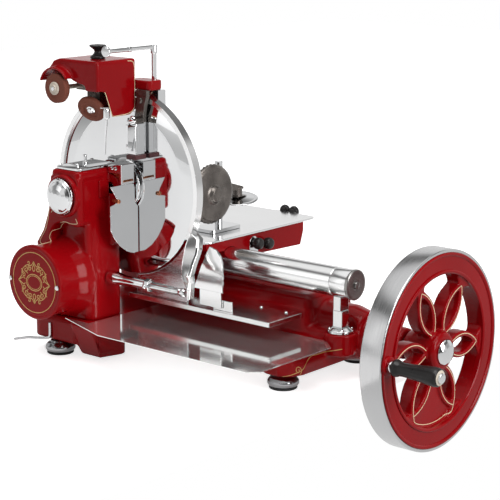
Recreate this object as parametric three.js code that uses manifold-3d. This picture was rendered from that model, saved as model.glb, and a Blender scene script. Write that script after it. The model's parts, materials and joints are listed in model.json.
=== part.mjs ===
// Hand crank meat slicer with a flywheel. Millimetres, +Z up, +X out along the flywheel shaft,
// -Y towards the person who takes the slices. The model is laid out round the blade axis (x = 0,
// blade edge near y = 0, z = 0 under the feet) and moved at the end so that the origin is the
// middle of the left front foot's sole.
import * as THREE from "three";
import { mergeVertices } from "three/addons/utils/BufferGeometryUtils.js";
import Module from "manifold-3d";

const wasm = await Module();
wasm.setup();

// Clearances
const GAP = 0.3;
const RUN = 0.6;

// Blade and guard. The blade's lowest point is level with the cross shaft.
const DRUM_Z = 136;
const BLADE_R = 150;
const BLADE_Z = DRUM_Z + BLADE_R;
const RING_IN = BLADE_R + 2;
const RING_OUT = RING_IN + 8;
const RING_Y0 = -4;
const RING_Y1 = 11;
const BLADE_BORE = 9;
const BAR_X1 = RING_OUT + 18;

// Column
const COL_X0 = -68;
const COL_X1 = -2;
const COL_Y0 = -112;
const COL_Y1 = -14;
const KNOB = [-35, BLADE_Z - 8];
const KNOB_R = 30;
const COL_TOP = BLADE_Z + 34;
const HEAD_Z = BLADE_Z - 50;
const LOW_X0 = -128;
const LOW_Y0 = -92;
const WALL = 5;

// Round housing under the cover plate
const DRUM_X = -62;
const DRUM_R = 61;
const DRUM_Y0 = -150;
const COVER_T = 8;

// Base
const BED_Y0 = 76;
const BED_Y1 = 218;
const TRAY_Z = 68;
const LOW_Z = TRAY_Z;
const FOOT_R = 26;
const FOOT_H = 19;
const SOLE_H = 5;
const BASE_Z0 = FOOT_H + SOLE_H + GAP;
const FEET = { left_front: [-75, -90], right_front: [337, 2], right_rear: [334, 201], left_rear: [-75, 190] };

// Flywheel and shafts
const WHEEL_Y = 140;
const WHEEL_Z = 68;
const CRANK_R = 142;
const RIM_T = 5;
const WHEEL_R = CRANK_R + RIM_T + 14;
const WHEEL_W = 39;
const WHEEL_FACE = 540;
const WHEEL_BACK = WHEEL_FACE - WHEEL_W;
const GRIP_L = 82;
const SHAFT_R = 11;
const CROSS_R = 8;
const GEAR_SUM = DRUM_Z - WHEEL_Z;
const GEAR_R = (GEAR_SUM - GAP) / 2;
const HOUSE_X1 = DRUM_X + 46;
const SPROCKET_LOW = 42;
const SPROCKET_TOP = 12;
const CHAIN_Y = -30;
const CHAIN_W = 8;
const CHAIN_T = 3;
const CHAIN_CLEAR = 0.5;

// Carriage, table and guide tube
const SHELF_Z = 102;
const SHELF_Y1 = 80.5;
const TUBE_Y = 88;
const TUBE_Z = 163;
const TUBE_R = 24;
const TUBE_X0 = HOUSE_X1 + GAP;
const TUBE_X1 = 408;
const POST_X = 384;
const POST_FOOT = 82;
const CARRIAGE_TOP = 201;
const CARRIAGE_X0 = TUBE_X0 + 6;
const TABLE_T = 3;
const TABLE_X0 = -72;
const TABLE_X1 = 158;
const TABLE_Y0 = 20;
const TABLE_Y1 = 316;

// Sharpener
const ARM_Z = BLADE_Z + RING_OUT + 2;
const ARM_T = 16;
const HOOD_TOP = ARM_Z + 52;
const HOOD_X0 = -92;
const HOOD_X1 = 30;
const HOOD_Y0 = -95;
const HOOD_Y1 = -7;
const HOOD_T = 4;
const STONE_R = 24.5;
const STONE = [-55, -103, ARM_Z + 4.5];
const STONE_T = 12;
const LOW_STONE = [-8, -72, ARM_Z - 28];
const LOW_STONE_AXIS = [0.22, -0.82, -0.53];
const POST_R = 4.5;
const POST = [45, 20];
const ROD_Z = HOOD_TOP + 17;
const LEVER_R = 2.4;

const LOOKS = {
  enamel: { color: 0x9c0f14, roughness: 0.22, metalness: 0.1 },
  chrome: { color: 0xd9dbdd, roughness: 0.12, metalness: 1 },
  steel: { color: 0xb9bcbf, roughness: 0.3, metalness: 1 },
  dark: { color: 0x2a2624, roughness: 0.4, metalness: 0.5 },
  rubber: { color: 0x17171a, roughness: 0.8, metalness: 0 },
  black: { color: 0x1b1a1a, roughness: 0.3, metalness: 0 },
  stone: { color: 0x8a4a34, roughness: 0.85, metalness: 0 },
  bronze: { color: 0x9a5a34, roughness: 0.35, metalness: 1 },
};

const group = new THREE.Group();

// Solids

function solid(geometry) {
  const bare = new THREE.BufferGeometry();
  bare.setAttribute("position", geometry.getAttribute("position"));
  if (geometry.index) bare.setIndex(geometry.index);
  const merged = mergeVertices(bare, 1e-4);
  return new wasm.Manifold(
    new wasm.Mesh({
      numProp: 3,
      vertProperties: new Float32Array(merged.attributes.position.array),
      triVerts: new Uint32Array(merged.index.array),
    }),
  );
}

function add(name, look, body) {
  const mesh = body.getMesh();
  const points = new Float32Array(mesh.numVert * 3);
  for (let i = 0; i < mesh.numVert; i++) {
    points.set(mesh.vertProperties.subarray(i * mesh.numProp, i * mesh.numProp + 3), i * 3);
  }
  const geometry = new THREE.BufferGeometry();
  geometry.setAttribute("position", new THREE.BufferAttribute(points, 3));
  geometry.setIndex(new THREE.BufferAttribute(mesh.triVerts, 1));
  geometry.computeVertexNormals();
  const made = new THREE.Mesh(geometry, new THREE.MeshStandardMaterial(LOOKS[look]));
  made.name = name;
  group.add(made);
}

function box(x0, x1, y0, y1, z0, z1) {
  const g = new THREE.BoxGeometry(x1 - x0, y1 - y0, z1 - z0);
  g.translate((x0 + x1) / 2, (y0 + y1) / 2, (z0 + z1) / 2);
  return solid(g);
}

// Turns a solid made along +Z so that it lies along the named axis, with its local x and y
// going to (y, z) for X, and to (x, z) for Y.
function lay(geometry, axis) {
  const m = new THREE.Matrix4();
  if (axis === "x") m.set(0, 0, 1, 0, 1, 0, 0, 0, 0, 1, 0, 0, 0, 0, 0, 1);
  if (axis === "y") m.set(1, 0, 0, 0, 0, 0, -1, 0, 0, 1, 0, 0, 0, 0, 0, 1);
  geometry.applyMatrix4(m);
  return geometry;
}

function anticlockwise(outline) {
  const points = outline.map((p) => new THREE.Vector2(p[0], p[1]));
  if (THREE.ShapeUtils.isClockWise(points)) points.reverse();
  return points;
}

// An outline in the plane across an axis, pushed out between two places on that axis.
function slab(axis, outline, a0, a1, holes = []) {
  const shape = new THREE.Shape(anticlockwise(outline));
  for (const hole of holes) shape.holes.push(new THREE.Path(anticlockwise(hole)));
  const g = new THREE.ExtrudeGeometry(shape, { depth: a1 - a0, bevelEnabled: false });
  if (axis === "y") {
    g.translate(0, 0, -a1);
  } else {
    g.translate(0, 0, a0);
  }
  return solid(lay(g, axis));
}

function arc(cx, cy, r, from, to, steps) {
  const points = [];
  for (let i = 0; i <= steps; i++) {
    const t = THREE.MathUtils.degToRad(from + ((to - from) * i) / steps);
    points.push([cx + r * Math.cos(t), cy + r * Math.sin(t)]);
  }
  return points;
}

function ring(cx, cy, r, steps) {
  return arc(cx, cy, r, 0, 360 - 360 / steps, steps - 1);
}

function rounded(x0, x1, y0, y1, r, steps = 4) {
  return [
    ...arc(x1 - r, y0 + r, r, -90, 0, steps),
    ...arc(x1 - r, y1 - r, r, 0, 90, steps),
    ...arc(x0 + r, y1 - r, r, 90, 180, steps),
    ...arc(x0 + r, y0 + r, r, 180, 270, steps),
  ];
}

function rod(axis, c, r, a0, a1, steps = 24) {
  return slab(axis, ring(c[0], c[1], r, steps), a0, a1);
}

function tubeRing(axis, c, rOut, rIn, a0, a1, steps = 32) {
  return slab(axis, ring(c[0], c[1], rOut, steps), a0, a1, [ring(c[0], c[1], rIn, steps)]);
}

// A turned solid: profile points are [radius, place along the axis], both ends on the axis.
function turned(axis, c, profile, steps = 32) {
  const outline = profile.map((p) => new THREE.Vector2(p[0], p[1]));
  const g = new THREE.LatheGeometry(outline, steps);
  const m = new THREE.Matrix4();
  m.set(1, 0, 0, 0, 0, 0, -1, 0, 0, 1, 0, 0, 0, 0, 0, 1);
  g.applyMatrix4(m);
  if (axis === "x") {
    m.set(0, 0, 1, 0, 1, 0, 0, c[0], 0, 1, 0, c[1], 0, 0, 0, 1);
  }
  if (axis === "y") {
    m.set(1, 0, 0, c[0], 0, 0, 1, 0, 0, -1, 0, c[1], 0, 0, 0, 1);
  }
  if (axis === "z") {
    m.set(1, 0, 0, c[0], 0, 1, 0, c[1], 0, 0, 1, 0, 0, 0, 0, 1);
  }
  g.applyMatrix4(m);
  let made = solid(g);
  if (made.volume() < 0) {
    const flipped = g.index.array;
    for (let i = 0; i < flipped.length; i += 3) {
      [flipped[i + 1], flipped[i + 2]] = [flipped[i + 2], flipped[i + 1]];
    }
    made = solid(g);
  }
  return made;
}

// A skin through outlines that all have the same number of points, listed from the bottom up.
function loft(levels) {
  const count = levels[0].outline.length;
  const points = [];
  const faces = [];
  for (const level of levels) {
    for (const p of level.outline) points.push(p[0], p[1], level.z);
  }
  for (let k = 0; k + 1 < levels.length; k++) {
    for (let i = 0; i < count; i++) {
      const j = (i + 1) % count;
      const a = k * count + i;
      const b = k * count + j;
      faces.push(a, b, b + count, a, b + count, a + count);
    }
  }
  const bottom = levels[0].outline.map((p) => new THREE.Vector2(p[0], p[1]));
  const top = levels[levels.length - 1].outline.map((p) => new THREE.Vector2(p[0], p[1]));
  const last = (levels.length - 1) * count;
  for (const t of THREE.ShapeUtils.triangulateShape(bottom, [])) faces.push(t[2], t[1], t[0]);
  for (const t of THREE.ShapeUtils.triangulateShape(top, [])) {
    faces.push(last + t[0], last + t[1], last + t[2]);
  }
  const g = new THREE.BufferGeometry();
  g.setAttribute("position", new THREE.BufferAttribute(new Float32Array(points), 3));
  g.setIndex(faces);
  return solid(g);
}

function block(x0, x1, y0, y1, r, levels) {
  return loft(
    levels.map(([z, inset]) => ({
      z,
      outline: rounded(x0 + inset, x1 - inset, y0 + inset, y1 - inset, Math.max(r - inset, 1)),
    })),
  );
}

// A stack of rounded rectangles, each given as [z, x0, x1, y0, y1, corner radius].
function tiers(levels) {
  return loft(
    levels.map(([z, x0, x1, y0, y1, r]) => ({ z, outline: rounded(x0, x1, y0, y1, r) })),
  );
}

function wire(points, r, steps, sides = 12) {
  const path = new THREE.CatmullRomCurve3(points, false, "catmullrom", 0.2);
  const shape = new THREE.Shape(ring(0, 0, r, sides).map((p) => new THREE.Vector2(p[0], p[1])));
  const count = steps * (points.length - 1);
  return solid(new THREE.ExtrudeGeometry(shape, { steps: count, extrudePath: path, bevelEnabled: false }));
}

function join(...parts) {
  return parts.reduce((a, b) => a.add(b));
}

// A round solid along a slanted axis: profile points are [radius, place along the axis].
function slanted(centre, axis, profile, steps) {
  const g = new THREE.LatheGeometry(profile.map((p) => new THREE.Vector2(p[0], p[1])), steps);
  const turn = new THREE.Quaternion();
  turn.setFromUnitVectors(new THREE.Vector3(0, 1, 0), new THREE.Vector3(...axis).normalize());
  g.applyQuaternion(turn);
  g.translate(...centre);
  let made = solid(g);
  if (made.volume() < 0) {
    const flipped = g.index.array;
    for (let i = 0; i < flipped.length; i += 3) {
      [flipped[i + 1], flipped[i + 2]] = [flipped[i + 2], flipped[i + 1]];
    }
    made = solid(g);
  }
  return made;
}

// Base casting and feet

function baseCasting() {
  const bed = block(-118, 372, BED_Y0, BED_Y1, 26, [[BASE_Z0, 0], [60, 0], [78, 4], [84, 14]]);
  const hump = block(-40, 330, BED_Y0 + 1, BED_Y1 - 8, 22, [[70, 0], [108, 6], [122, 14], [127, 26]]);
  const leftArm = block(-132, 28, -104, 120, 22, [[BASE_Z0, 0], [60, 0], [TRAY_Z - GAP, 5]]);
  const plinth = block(-24, 34, -118, -40, 8, [[8, 0], [40, 0], [TRAY_Z - GAP, 0]]);
  const rightArm = loft([
    { z: BASE_Z0, outline: rightLobe(0) },
    { z: 46, outline: rightLobe(-4) },
    { z: 60, outline: rightLobe(6) },
    { z: TRAY_Z - GAP, outline: rightLobe(14) },
  ]);
  const boss = turned("x", [WHEEL_Y, WHEEL_Z], [
    [0, 300], [46, 300], [46, 372], [41, 392], [38, 402], [30, 408], [27, 440], [25, WHEEL_FACE - 62],
    [0, WHEEL_FACE - 62],
  ], 36);
  const hollow = block(-100, 354, BED_Y0 + 8, BED_Y1 - 12, 18, [[0, 0], [66, 0], [74, 6]]);
  const armHollow = block(-112, 12, -84, 110, 14, [[0, 0], [60, 0]]);
  const humpHollow = block(-24, 300, BED_Y0 + 14, BED_Y1 - 26, 12, [[60, 0], [108, 8]]);
  const legs = Object.values(FEET).map(([x, y]) => rod("z", [x, y], 15, BASE_Z0, 60, 20));
  return join(bed, hump, leftArm, plinth, rightArm, boss, postPad(FOOT_R, 46, POST_FOOT - GAP))
    .subtract(hollow)
    .subtract(armHollow)
    .subtract(humpHollow)
    .subtract(postPad(FOOT_R, POST_FOOT - GAP, 160))
    .add(join(...legs))
    .add(gearHouse())
    .subtract(gearRoom())
    .subtract(rod("x", [WHEEL_Y, WHEEL_Z], SHAFT_R + RUN, DRUM_X - 32, 500))
    .subtract(rod("y", [DRUM_X, DRUM_Z], CROSS_R + 6, BED_Y0 - 30, WHEEL_Y + 20));
}

function postPad(r, z0, z1) {
  return rod("z", [POST_X, TUBE_Y], r, z0, z1, 28);
}

function gearHouse() {
  const top = DRUM_Z + GEAR_R + 10;
  return block(DRUM_X - GEAR_R - 10, HOUSE_X1, BED_Y0 + 2, WHEEL_Y + 54, 18, [
    [60, 0], [top - 26, 0], [top - 6, 7], [top, 18],
  ]);
}

function gearRoom() {
  const half = GEAR_R + 3;
  return block(DRUM_X - half, DRUM_X + half, WHEEL_Y - half, WHEEL_Y + half, 6, [
    [20, 0], [DRUM_Z + 18, 0], [DRUM_Z + half, 4],
  ]);
}

function rightLobe(inset) {
  return [
    [262 + inset, 110], [262 + inset, 40], [282 + inset, 8 + inset], [300, -14 + inset],
    [322, -24 + inset], [346, -24 + inset], [364 - inset, -12 + inset], [372 - inset, 8],
    [372 - inset, 40], [372 - inset, 110],
  ];
}

function addFeet() {
  for (const [name, [x, y]] of Object.entries(FEET)) {
    const cup = turned("z", [x, y], [
      [0, SOLE_H + GAP], [FOOT_R - 2, SOLE_H + GAP], [FOOT_R, SOLE_H + 5], [FOOT_R - 2, SOLE_H + 11],
      [18, FOOT_H + SOLE_H - 2], [14, FOOT_H + SOLE_H], [0, FOOT_H + SOLE_H],
    ], 20);
    add("foot_" + name, "chrome", cup);
    add("sole_" + name, "rubber", turned("z", [x, y], [
      [0, 0], [FOOT_R - 4, 0], [FOOT_R - 3, 1], [FOOT_R - 3, SOLE_H], [0, SOLE_H],
    ], 20));
  }
}

// Column with the round housing

function columnFront() {
  return [
    [COL_X1, COL_TOP - 12], [COL_X0, COL_TOP - 12], [-69, BLADE_Z - 6], [-71, BLADE_Z - 24],
    [-77, BLADE_Z - 45], [-88, BLADE_Z - 72], [-104, BLADE_Z - 94],
    ...arc(DRUM_X, DRUM_Z, DRUM_R, 133, 200, 8), ...arc(DRUM_X, DRUM_Z, DRUM_R, 200, 400, 20),
    [-34, BLADE_Z - 106], [-56, BLADE_Z - 96], [-70, BLADE_Z - 87], [-71, BLADE_Z - 78],
    [-67, BLADE_Z - 69], [-60, BLADE_Z - 60], [-50, BLADE_Z - 55], [-40, BLADE_Z - 53],
    [-20, BLADE_Z - 56], [-8, BLADE_Z - 58], [COL_X1, BLADE_Z - 52],
  ];
}

function column() {
  const head = block(COL_X0, COL_X1, COL_Y0, COL_Y1, 10, [
    [HEAD_Z, 3], [HEAD_Z + 3, 0], [COL_TOP - 5, 0], [COL_TOP - 1.5, 1.5], [COL_TOP, 5],
  ]);
  const web = slab("y", columnFront(), COL_Y0, LOW_Y0 + 12);
  const low = tiers([
    [LOW_Z, LOW_X0, COL_X1 + 6, LOW_Y0, COL_Y1, 18],
    [DRUM_Z + 14, LOW_X0 + 4, COL_X1 + 6, LOW_Y0 + 2, COL_Y1, 18],
    [DRUM_Z + 39, LOW_X0 + 16, COL_X1 + 5, LOW_Y0 + 6, COL_Y1, 16],
    [BLADE_Z - 90, LOW_X0 + 34, COL_X1 + 4, LOW_Y0 + 8, COL_Y1, 14],
    [BLADE_Z - 64, LOW_X0 + 50, COL_X1 + 2, LOW_Y0 + 8, COL_Y1, 12],
    [HEAD_Z + 6, COL_X0 + 1, COL_X1 - 1, LOW_Y0 + 8, COL_Y1, 10],
  ]);
  const spine = block(COL_X0, COL_X1, LOW_Y0, COL_Y1, 10, [[LOW_Z, 0], [HEAD_Z + 6, 0]]);
  const drum = rod("y", [DRUM_X, DRUM_Z], DRUM_R - 1, DRUM_Y0, LOW_Y0 + 10, 40);
  const flare = turned("y", [DRUM_X, DRUM_Z], [
    [0, LOW_Y0 + 10], [DRUM_R + 12, LOW_Y0 + 6], [DRUM_R + 4, LOW_Y0 - 8], [DRUM_R - 1, LOW_Y0 - 22],
    [0, LOW_Y0 - 22],
  ], 40);
  const chainCase = slab("y", [
    [-30, BLADE_Z - 96], [5, BLADE_Z - 94], [9, BLADE_Z - 80], [23, BLADE_Z - 22],
    ...arc(0, BLADE_Z, 24, -15, 130, 10), [-30, BLADE_Z + 14],
  ], CHAIN_Y - 12, COL_Y1);
  let made = join(head, web, low, spine, drum, flare, chainCase);
  made = made.subtract(box(-150, 40, -200, 20, 0, LOW_Z));
  const inHead = block(COL_X0 + WALL, COL_X1 - WALL, COL_Y0 + 26, COL_Y1 - WALL, 6, [
    [DRUM_Z - 16, 0], [COL_TOP - 12, 0],
  ]);
  const inLow = block(LOW_X0 + 14, COL_X1 - WALL, LOW_Y0 + 8, COL_Y1 - WALL, 10, [
    [0, 0], [DRUM_Z + 14, 6], [DRUM_Z + 42, 18],
  ]);
  const inDrum = rod("y", [DRUM_X, DRUM_Z], DRUM_R - 12, DRUM_Y0 - 5, LOW_Y0 + 30, 40);
  const inChain = slab("y", chainOutline(CHAIN_CLEAR + CHAIN_T + 2), CHAIN_Y - 8, CHAIN_Y + 8);
  made = made.subtract(inHead).subtract(inLow).subtract(inDrum).subtract(inChain);
  made = made.subtract(rod("y", [0, BLADE_Z], BLADE_BORE + RUN, -60, 0));
  made = made.subtract(rod("y", [DRUM_X, DRUM_Z], CROSS_R + RUN, -60, 0));
  const panel = box(COL_X1 - 1.5, COL_X1 + 2, COL_Y0 + 12, COL_Y1 - 38, HEAD_Z + 4, COL_TOP - 12);
  const knobSeat = rod("y", KNOB, KNOB_R + 2, COL_Y0 - 4, COL_Y0 + 2, 36);
  made = made.add(knobSeat).subtract(panel);
  return made.subtract(rod("y", KNOB, 5 + RUN, COL_Y0 - 10, COL_Y0 + 30, 20));
}

function addColumn() {
  add("drive_column", "enamel", column());
  const cover = turned("y", [DRUM_X, DRUM_Z], [
    [0, DRUM_Y0 - GAP], [DRUM_R + 2, DRUM_Y0 - GAP], [DRUM_R + 2, DRUM_Y0 - COVER_T + 3],
    [DRUM_R - 1, DRUM_Y0 - COVER_T], [0, DRUM_Y0 - COVER_T],
  ], 40);
  add("housing_cover", "enamel", cover);
  for (const [name, side] of [["left", -1], ["right", 1]]) {
    const x = DRUM_X + side * (DRUM_R - 5);
    add("cover_screw_" + name, "chrome", turned("y", [x, DRUM_Z], [
      [0, DRUM_Y0 - COVER_T - GAP], [4.5, DRUM_Y0 - COVER_T - GAP], [4, DRUM_Y0 - COVER_T - 2.5],
      [2, DRUM_Y0 - COVER_T - 3.5], [0, DRUM_Y0 - COVER_T - 3.5],
    ], 14));
  }
  add("column_cap_plate", "chrome", block(COL_X0 + 5, COL_X1 - 4, COL_Y0 + 6, COL_Y1 - 4, 8, [
    [COL_TOP + GAP, 0], [COL_TOP + 4, 0], [COL_TOP + 5, 1.5],
  ]));
  add("thickness_knob", "chrome", turned("y", KNOB, [
    [0, COL_Y0 + 24], [5, COL_Y0 + 24], [5, COL_Y0 - 4 - GAP], [KNOB_R - 1, COL_Y0 - 4 - GAP],
    [KNOB_R, COL_Y0 - 8], [KNOB_R - 1, COL_Y0 - 12], [KNOB_R - 6, COL_Y0 - 16], [14, COL_Y0 - 19],
    [0, COL_Y0 - 20],
  ], 36));
}

// Blade, guard and deflector

function addBlade() {
  add("blade", "chrome", turned("y", [0, BLADE_Z], [
    [0, 1], [40, 1], [120, 3], [BLADE_R, 0.6], [BLADE_R, 0], [BLADE_R - 24, -3], [44, -3], [40, -4], [0, -4],
  ], 60));
  const hub = turned("y", [0, BLADE_Z], [[0, -4 - GAP], [36, -4 - GAP], [36, -8], [20, -11], [0, -11]], 36);
  add("blade_hub", "chrome", hub.subtract(rod("y", [0, BLADE_Z], BLADE_BORE - 1 + GAP, -20, 0)));
  const sprocket = rod("y", [0, BLADE_Z], SPROCKET_TOP, CHAIN_Y - CHAIN_W / 2, CHAIN_Y + CHAIN_W / 2);
  const shaft = rod("y", [0, BLADE_Z], BLADE_BORE - 1, CHAIN_Y - 7, -4 - GAP);
  add("blade_shaft", "steel", shaft.add(sprocket));
}

function addGuard() {
  const c = [0, BLADE_Z];
  const outline = (from, to, rOut, rIn) => [
    ...arc(c[0], c[1], rOut, from, to, 48),
    ...arc(c[0], c[1], rIn, to, from, 48),
  ];
  const guard = slab("y", outline(-23, 200, RING_OUT, RING_IN), RING_Y0, RING_Y1);
  const heel = slab("y", outline(190, 200, RING_OUT, RING_IN), COL_Y1 - 20, RING_Y0 + 2);
  const lug = box(4 - RING_OUT, COL_X0 - 5 - GAP, COL_Y1 - 20, COL_Y1 + 6, HEAD_Z - 5, HEAD_Z + 9);
  add("ring_guard", "chrome", join(guard, heel, lug));
  const knee = Math.PI / 180;
  const kx = RING_OUT * Math.cos(-23 * knee);
  const kz = BLADE_Z + RING_OUT * Math.sin(-23 * knee);
  const strut = strutSolid(kx, kz);
  add("guard_strut", "chrome", strut);
  const bar = turned("x", [-50, 137], [
    [0, COL_X1 + 6 + GAP], [10, COL_X1 + 6 + GAP], [12, 8], [12, 24], [8.5, 40], [8.5, 92], [11, 92],
    [11, 100], [8, 100], [7, 150], [7.5, BAR_X1 - 4], [6, BAR_X1], [0, BAR_X1],
  ], 20);
  add("guard_bar", "chrome", bar);
  const edge = arc(c[0], c[1], RING_IN + 1, -84, -36, 24);
  const [endX, endZ] = edge[edge.length - 1];
  const low = slab("y", [
    ...edge, [endX + 7, endZ], [endX + 7, SHELF_Z + GAP], [edge[0][0], SHELF_Z + GAP],
  ], 4, 8);
  add("lower_guard", "steel", low);
}

function strutSolid(kx, kz) {
  const end = BAR_X1 + 5 + GAP;
  const levels = [
    [kx - 6, kx + 3, 3.5, kz - GAP], [kx - 6, kx + 18, 1, kz - 8], [kx - 4, kx + 25, -9, kz - 18],
    [kx - 3, kx + 26, -13, kz - 28], [kx - 1, kx + 24, -20, kz - 44], [kx + 7, kx + 27, -32, kz - 62],
    [end - 14, end + 4, -43, kz - 70], [end, end + 8, -50, DRUM_Z + 10], [end, end + 6, -50, DRUM_Z - 7],
  ];
  const across = (x0, x1, y) => [
    [x0, y - 5], [x0 + 3, y - 8], [x1 - 3, y - 8], [x1, y - 5], [x1, y + 5], [x1 - 3, y + 7], [x0 + 3, y + 7],
    [x0, y + 5],
  ];
  return loft(levels.reverse().map(([x0, x1, y, z]) => ({ z, outline: across(x0, x1, y) })));
}

function addDeflector() {
  const plate = slab("x", [
    [-4.6, BLADE_Z - 110], [-4.6, BLADE_Z - 32], [-11.8, BLADE_Z - 24], [-11.8, BLADE_Z],
    [-14, BLADE_Z + 6], [-18, BLADE_Z + 8], [-69, BLADE_Z + 8], [-56, BLADE_Z - 10],
    [-52, BLADE_Z - 18], [-58, BLADE_Z - 22], [-69, BLADE_Z - 24], [-69, BLADE_Z - 64],
    [-60, BLADE_Z - 80], [-48, BLADE_Z - 94], [-34, BLADE_Z - 104], [-18, BLADE_Z - 110],
  ], 27, 28.6);
  add("slice_deflector", "chrome", plate);
  const arm = join(
    box(COL_X1 + GAP, 30, CHAIN_Y - 14, COL_Y1, BLADE_Z + 26, BLADE_Z + 42),
    box(24.6, 30, -44, COL_Y1, BLADE_Z + 8 + GAP, BLADE_Z + 30),
  );
  add("deflector_bracket", "chrome", arm);
}

// Flywheel

// The web is six rings of bars, round centres at ROSE_C from the hub. Where neighbours cross, a lens
// stays open between them, and the rest of each ring is a clear pane down to the hub.
const ROSE_C = 81;
const ROSE_IN = 53;
const ROSE_OUT = 62;
const ROSE_TURN = -4;
const OPEN_R = WHEEL_R - 38;

function rose(angle, half) {
  const a = THREE.MathUtils.degToRad(angle + ROSE_TURN);
  const back = half.map(([u, v]) => [u, -v]).reverse();
  const points = [...half, ...back].filter((p, i, all) => {
    const q = all[(i + all.length - 1) % all.length];
    return Math.hypot(p[0] - q[0], p[1] - q[1]) > 0.2;
  });
  return points.map(([u, v]) => [
    WHEEL_Y + u * Math.cos(a) - v * Math.sin(a), WHEEL_Z + u * Math.sin(a) + v * Math.cos(a),
  ]);
}

function lens(angle) {
  const u0 = ROSE_C * Math.cos(Math.PI / 6);
  const length = Math.sqrt(ROSE_IN ** 2 - (ROSE_C / 2) ** 2);
  const half = [];
  for (let i = 0; i <= 12; i++) {
    const u = length * ((2 * i) / 12 - 1);
    half.push([u0 + u, Math.sqrt(Math.max(ROSE_IN ** 2 - u * u, 0)) - ROSE_C / 2]);
  }
  half[0][1] = half[12][1] = 0;
  return rose(angle, half);
}

function pane(angle, more = 0) {
  const far = OPEN_R + more;
  const half = [];
  for (let i = 0; i <= 20; i++) {
    const u = 30 + (far - 30) * Math.sin((i / 20) * (Math.PI / 2));
    const own = Math.sqrt(Math.max((ROSE_IN + more) ** 2 - (u - ROSE_C) ** 2, 0));
    const beside = (ROSE_OUT - more) ** 2 - (u - ROSE_C / 2) ** 2;
    const near = beside > 0 ? ROSE_C * Math.cos(Math.PI / 6) - Math.sqrt(beside) : own;
    half.push([u, Math.min(own, near, Math.sqrt(Math.max(far * far - u * u, 0)))]);
  }
  return rose(angle + 30, half);
}

function spider() {
  const face = WHEEL_FACE - 1;
  let made = slab("x", ring(WHEEL_Y, WHEEL_Z, WHEEL_R - RIM_T - 0.5, 60), face - 30, face, [
    ring(WHEEL_Y, WHEEL_Z, OPEN_R, 60),
  ]);
  const gaps = [];
  for (let k = 0; k < 6; k++) gaps.push(lens(60 * k), pane(60 * k));
  made = made.add(slab("x", ring(WHEEL_Y, WHEEL_Z, OPEN_R + 6, 60), face - 28, face - 4, gaps));
  made = made.add(slab("x", pane(240, 3), face - 22, face - 9));
  made = made.add(turned("x", [WHEEL_Y, WHEEL_Z], [
    [0, face - 55], [24, face - 55], [30, face - 39], [33, face - 19], [31, face + 4], [27, face + 8],
    [0, face + 8],
  ], 32));
  made = made.subtract(rod("x", [WHEEL_Y, WHEEL_Z], SHAFT_R + GAP, face - 59, face - 12));
  const lug = rod("x", [WHEEL_Y - CRANK_R, WHEEL_Z + 8], 13, face - 4, face + 4, 28);
  made = made.add(lug);
  return made.subtract(rod("x", [WHEEL_Y - CRANK_R, WHEEL_Z + 8], 5 + GAP, face - 20, face + 10, 16));
}

function addFlywheel() {
  const c = [WHEEL_Y, WHEEL_Z];
  add("flywheel_rim", "steel", tubeRing("x", c, WHEEL_R, WHEEL_R - RIM_T, WHEEL_BACK, WHEEL_FACE, 60));
  add("flywheel_spider", "enamel", spider());
  add("flywheel_cap", "chrome", turned("x", c, [
    [0, WHEEL_FACE + 7 + GAP], [21, WHEEL_FACE + 7 + GAP], [20, WHEEL_FACE + 12], [14, WHEEL_FACE + 16],
    [0, WHEEL_FACE + 18],
  ], 28));
  add("main_shaft", "steel", join(
    rod("x", c, SHAFT_R, DRUM_X - 30, WHEEL_FACE - 14, 24),
    rod("x", c, GEAR_R, DRUM_X - 10, DRUM_X + 10, 36),
  ));
  const pin = [WHEEL_Y - CRANK_R, WHEEL_Z + 8];
  const root = WHEEL_FACE + 11.5;
  const tip = root + GRIP_L + 0.5;
  add("crank_pin", "steel", turned("x", pin, [
    [0, WHEEL_FACE - 18], [5, WHEEL_FACE - 18], [5, WHEEL_FACE + 5], [9, WHEEL_FACE + 5], [9, WHEEL_FACE + 9],
    [5, WHEEL_FACE + 11], [5, tip], [8, tip], [8, tip + 4], [0, tip + 5],
  ], 20));
  const grip = turned("x", pin, [
    [0, root], [12, root], [14, root + 4.5], [11, root + 14.5], [12, root + 38.5],
    [15, tip - 16], [15, tip - 5], [12, tip - 0.5], [0, tip - 0.5],
  ], 24);
  add("crank_grip", "black", grip.subtract(rod("x", pin, 5 + GAP, root - 10, tip + 10, 16)));
}

function addDrive() {
  const cross = [DRUM_X, DRUM_Z];
  const y0 = CHAIN_Y - CHAIN_W / 2;
  const y1 = CHAIN_Y + CHAIN_W / 2;
  add("cross_shaft", "steel", join(
    rod("y", cross, CROSS_R, DRUM_Y0 + 14, WHEEL_Y + 18),
    rod("y", cross, GEAR_R, WHEEL_Y - 10, WHEEL_Y + 10, 36),
    rod("y", cross, SPROCKET_LOW, y0, y1, 40),
  ));
  add("drive_chain", "dark", chainLoop(y0, y1));
}

// The line round both sprockets, along their common tangents, at a height over the pitch circles.
function chainOutline(more) {
  const dx = 0 - DRUM_X;
  const dz = BLADE_Z - DRUM_Z;
  const lean = THREE.MathUtils.radToDeg(Math.atan2(dz, dx));
  const wrap = THREE.MathUtils.radToDeg(Math.acos((SPROCKET_LOW - SPROCKET_TOP) / Math.hypot(dx, dz)));
  return [
    ...arc(DRUM_X, DRUM_Z, SPROCKET_LOW + more, lean + wrap, lean + 360 - wrap, 28),
    ...arc(0, BLADE_Z, SPROCKET_TOP + more, lean - wrap, lean + wrap, 12),
  ];
}

function chainLoop(y0, y1) {
  return slab("y", chainOutline(CHAIN_CLEAR + CHAIN_T), y0, y1, [chainOutline(CHAIN_CLEAR)]);
}

// Guide tube, bed and gauge plate

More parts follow.
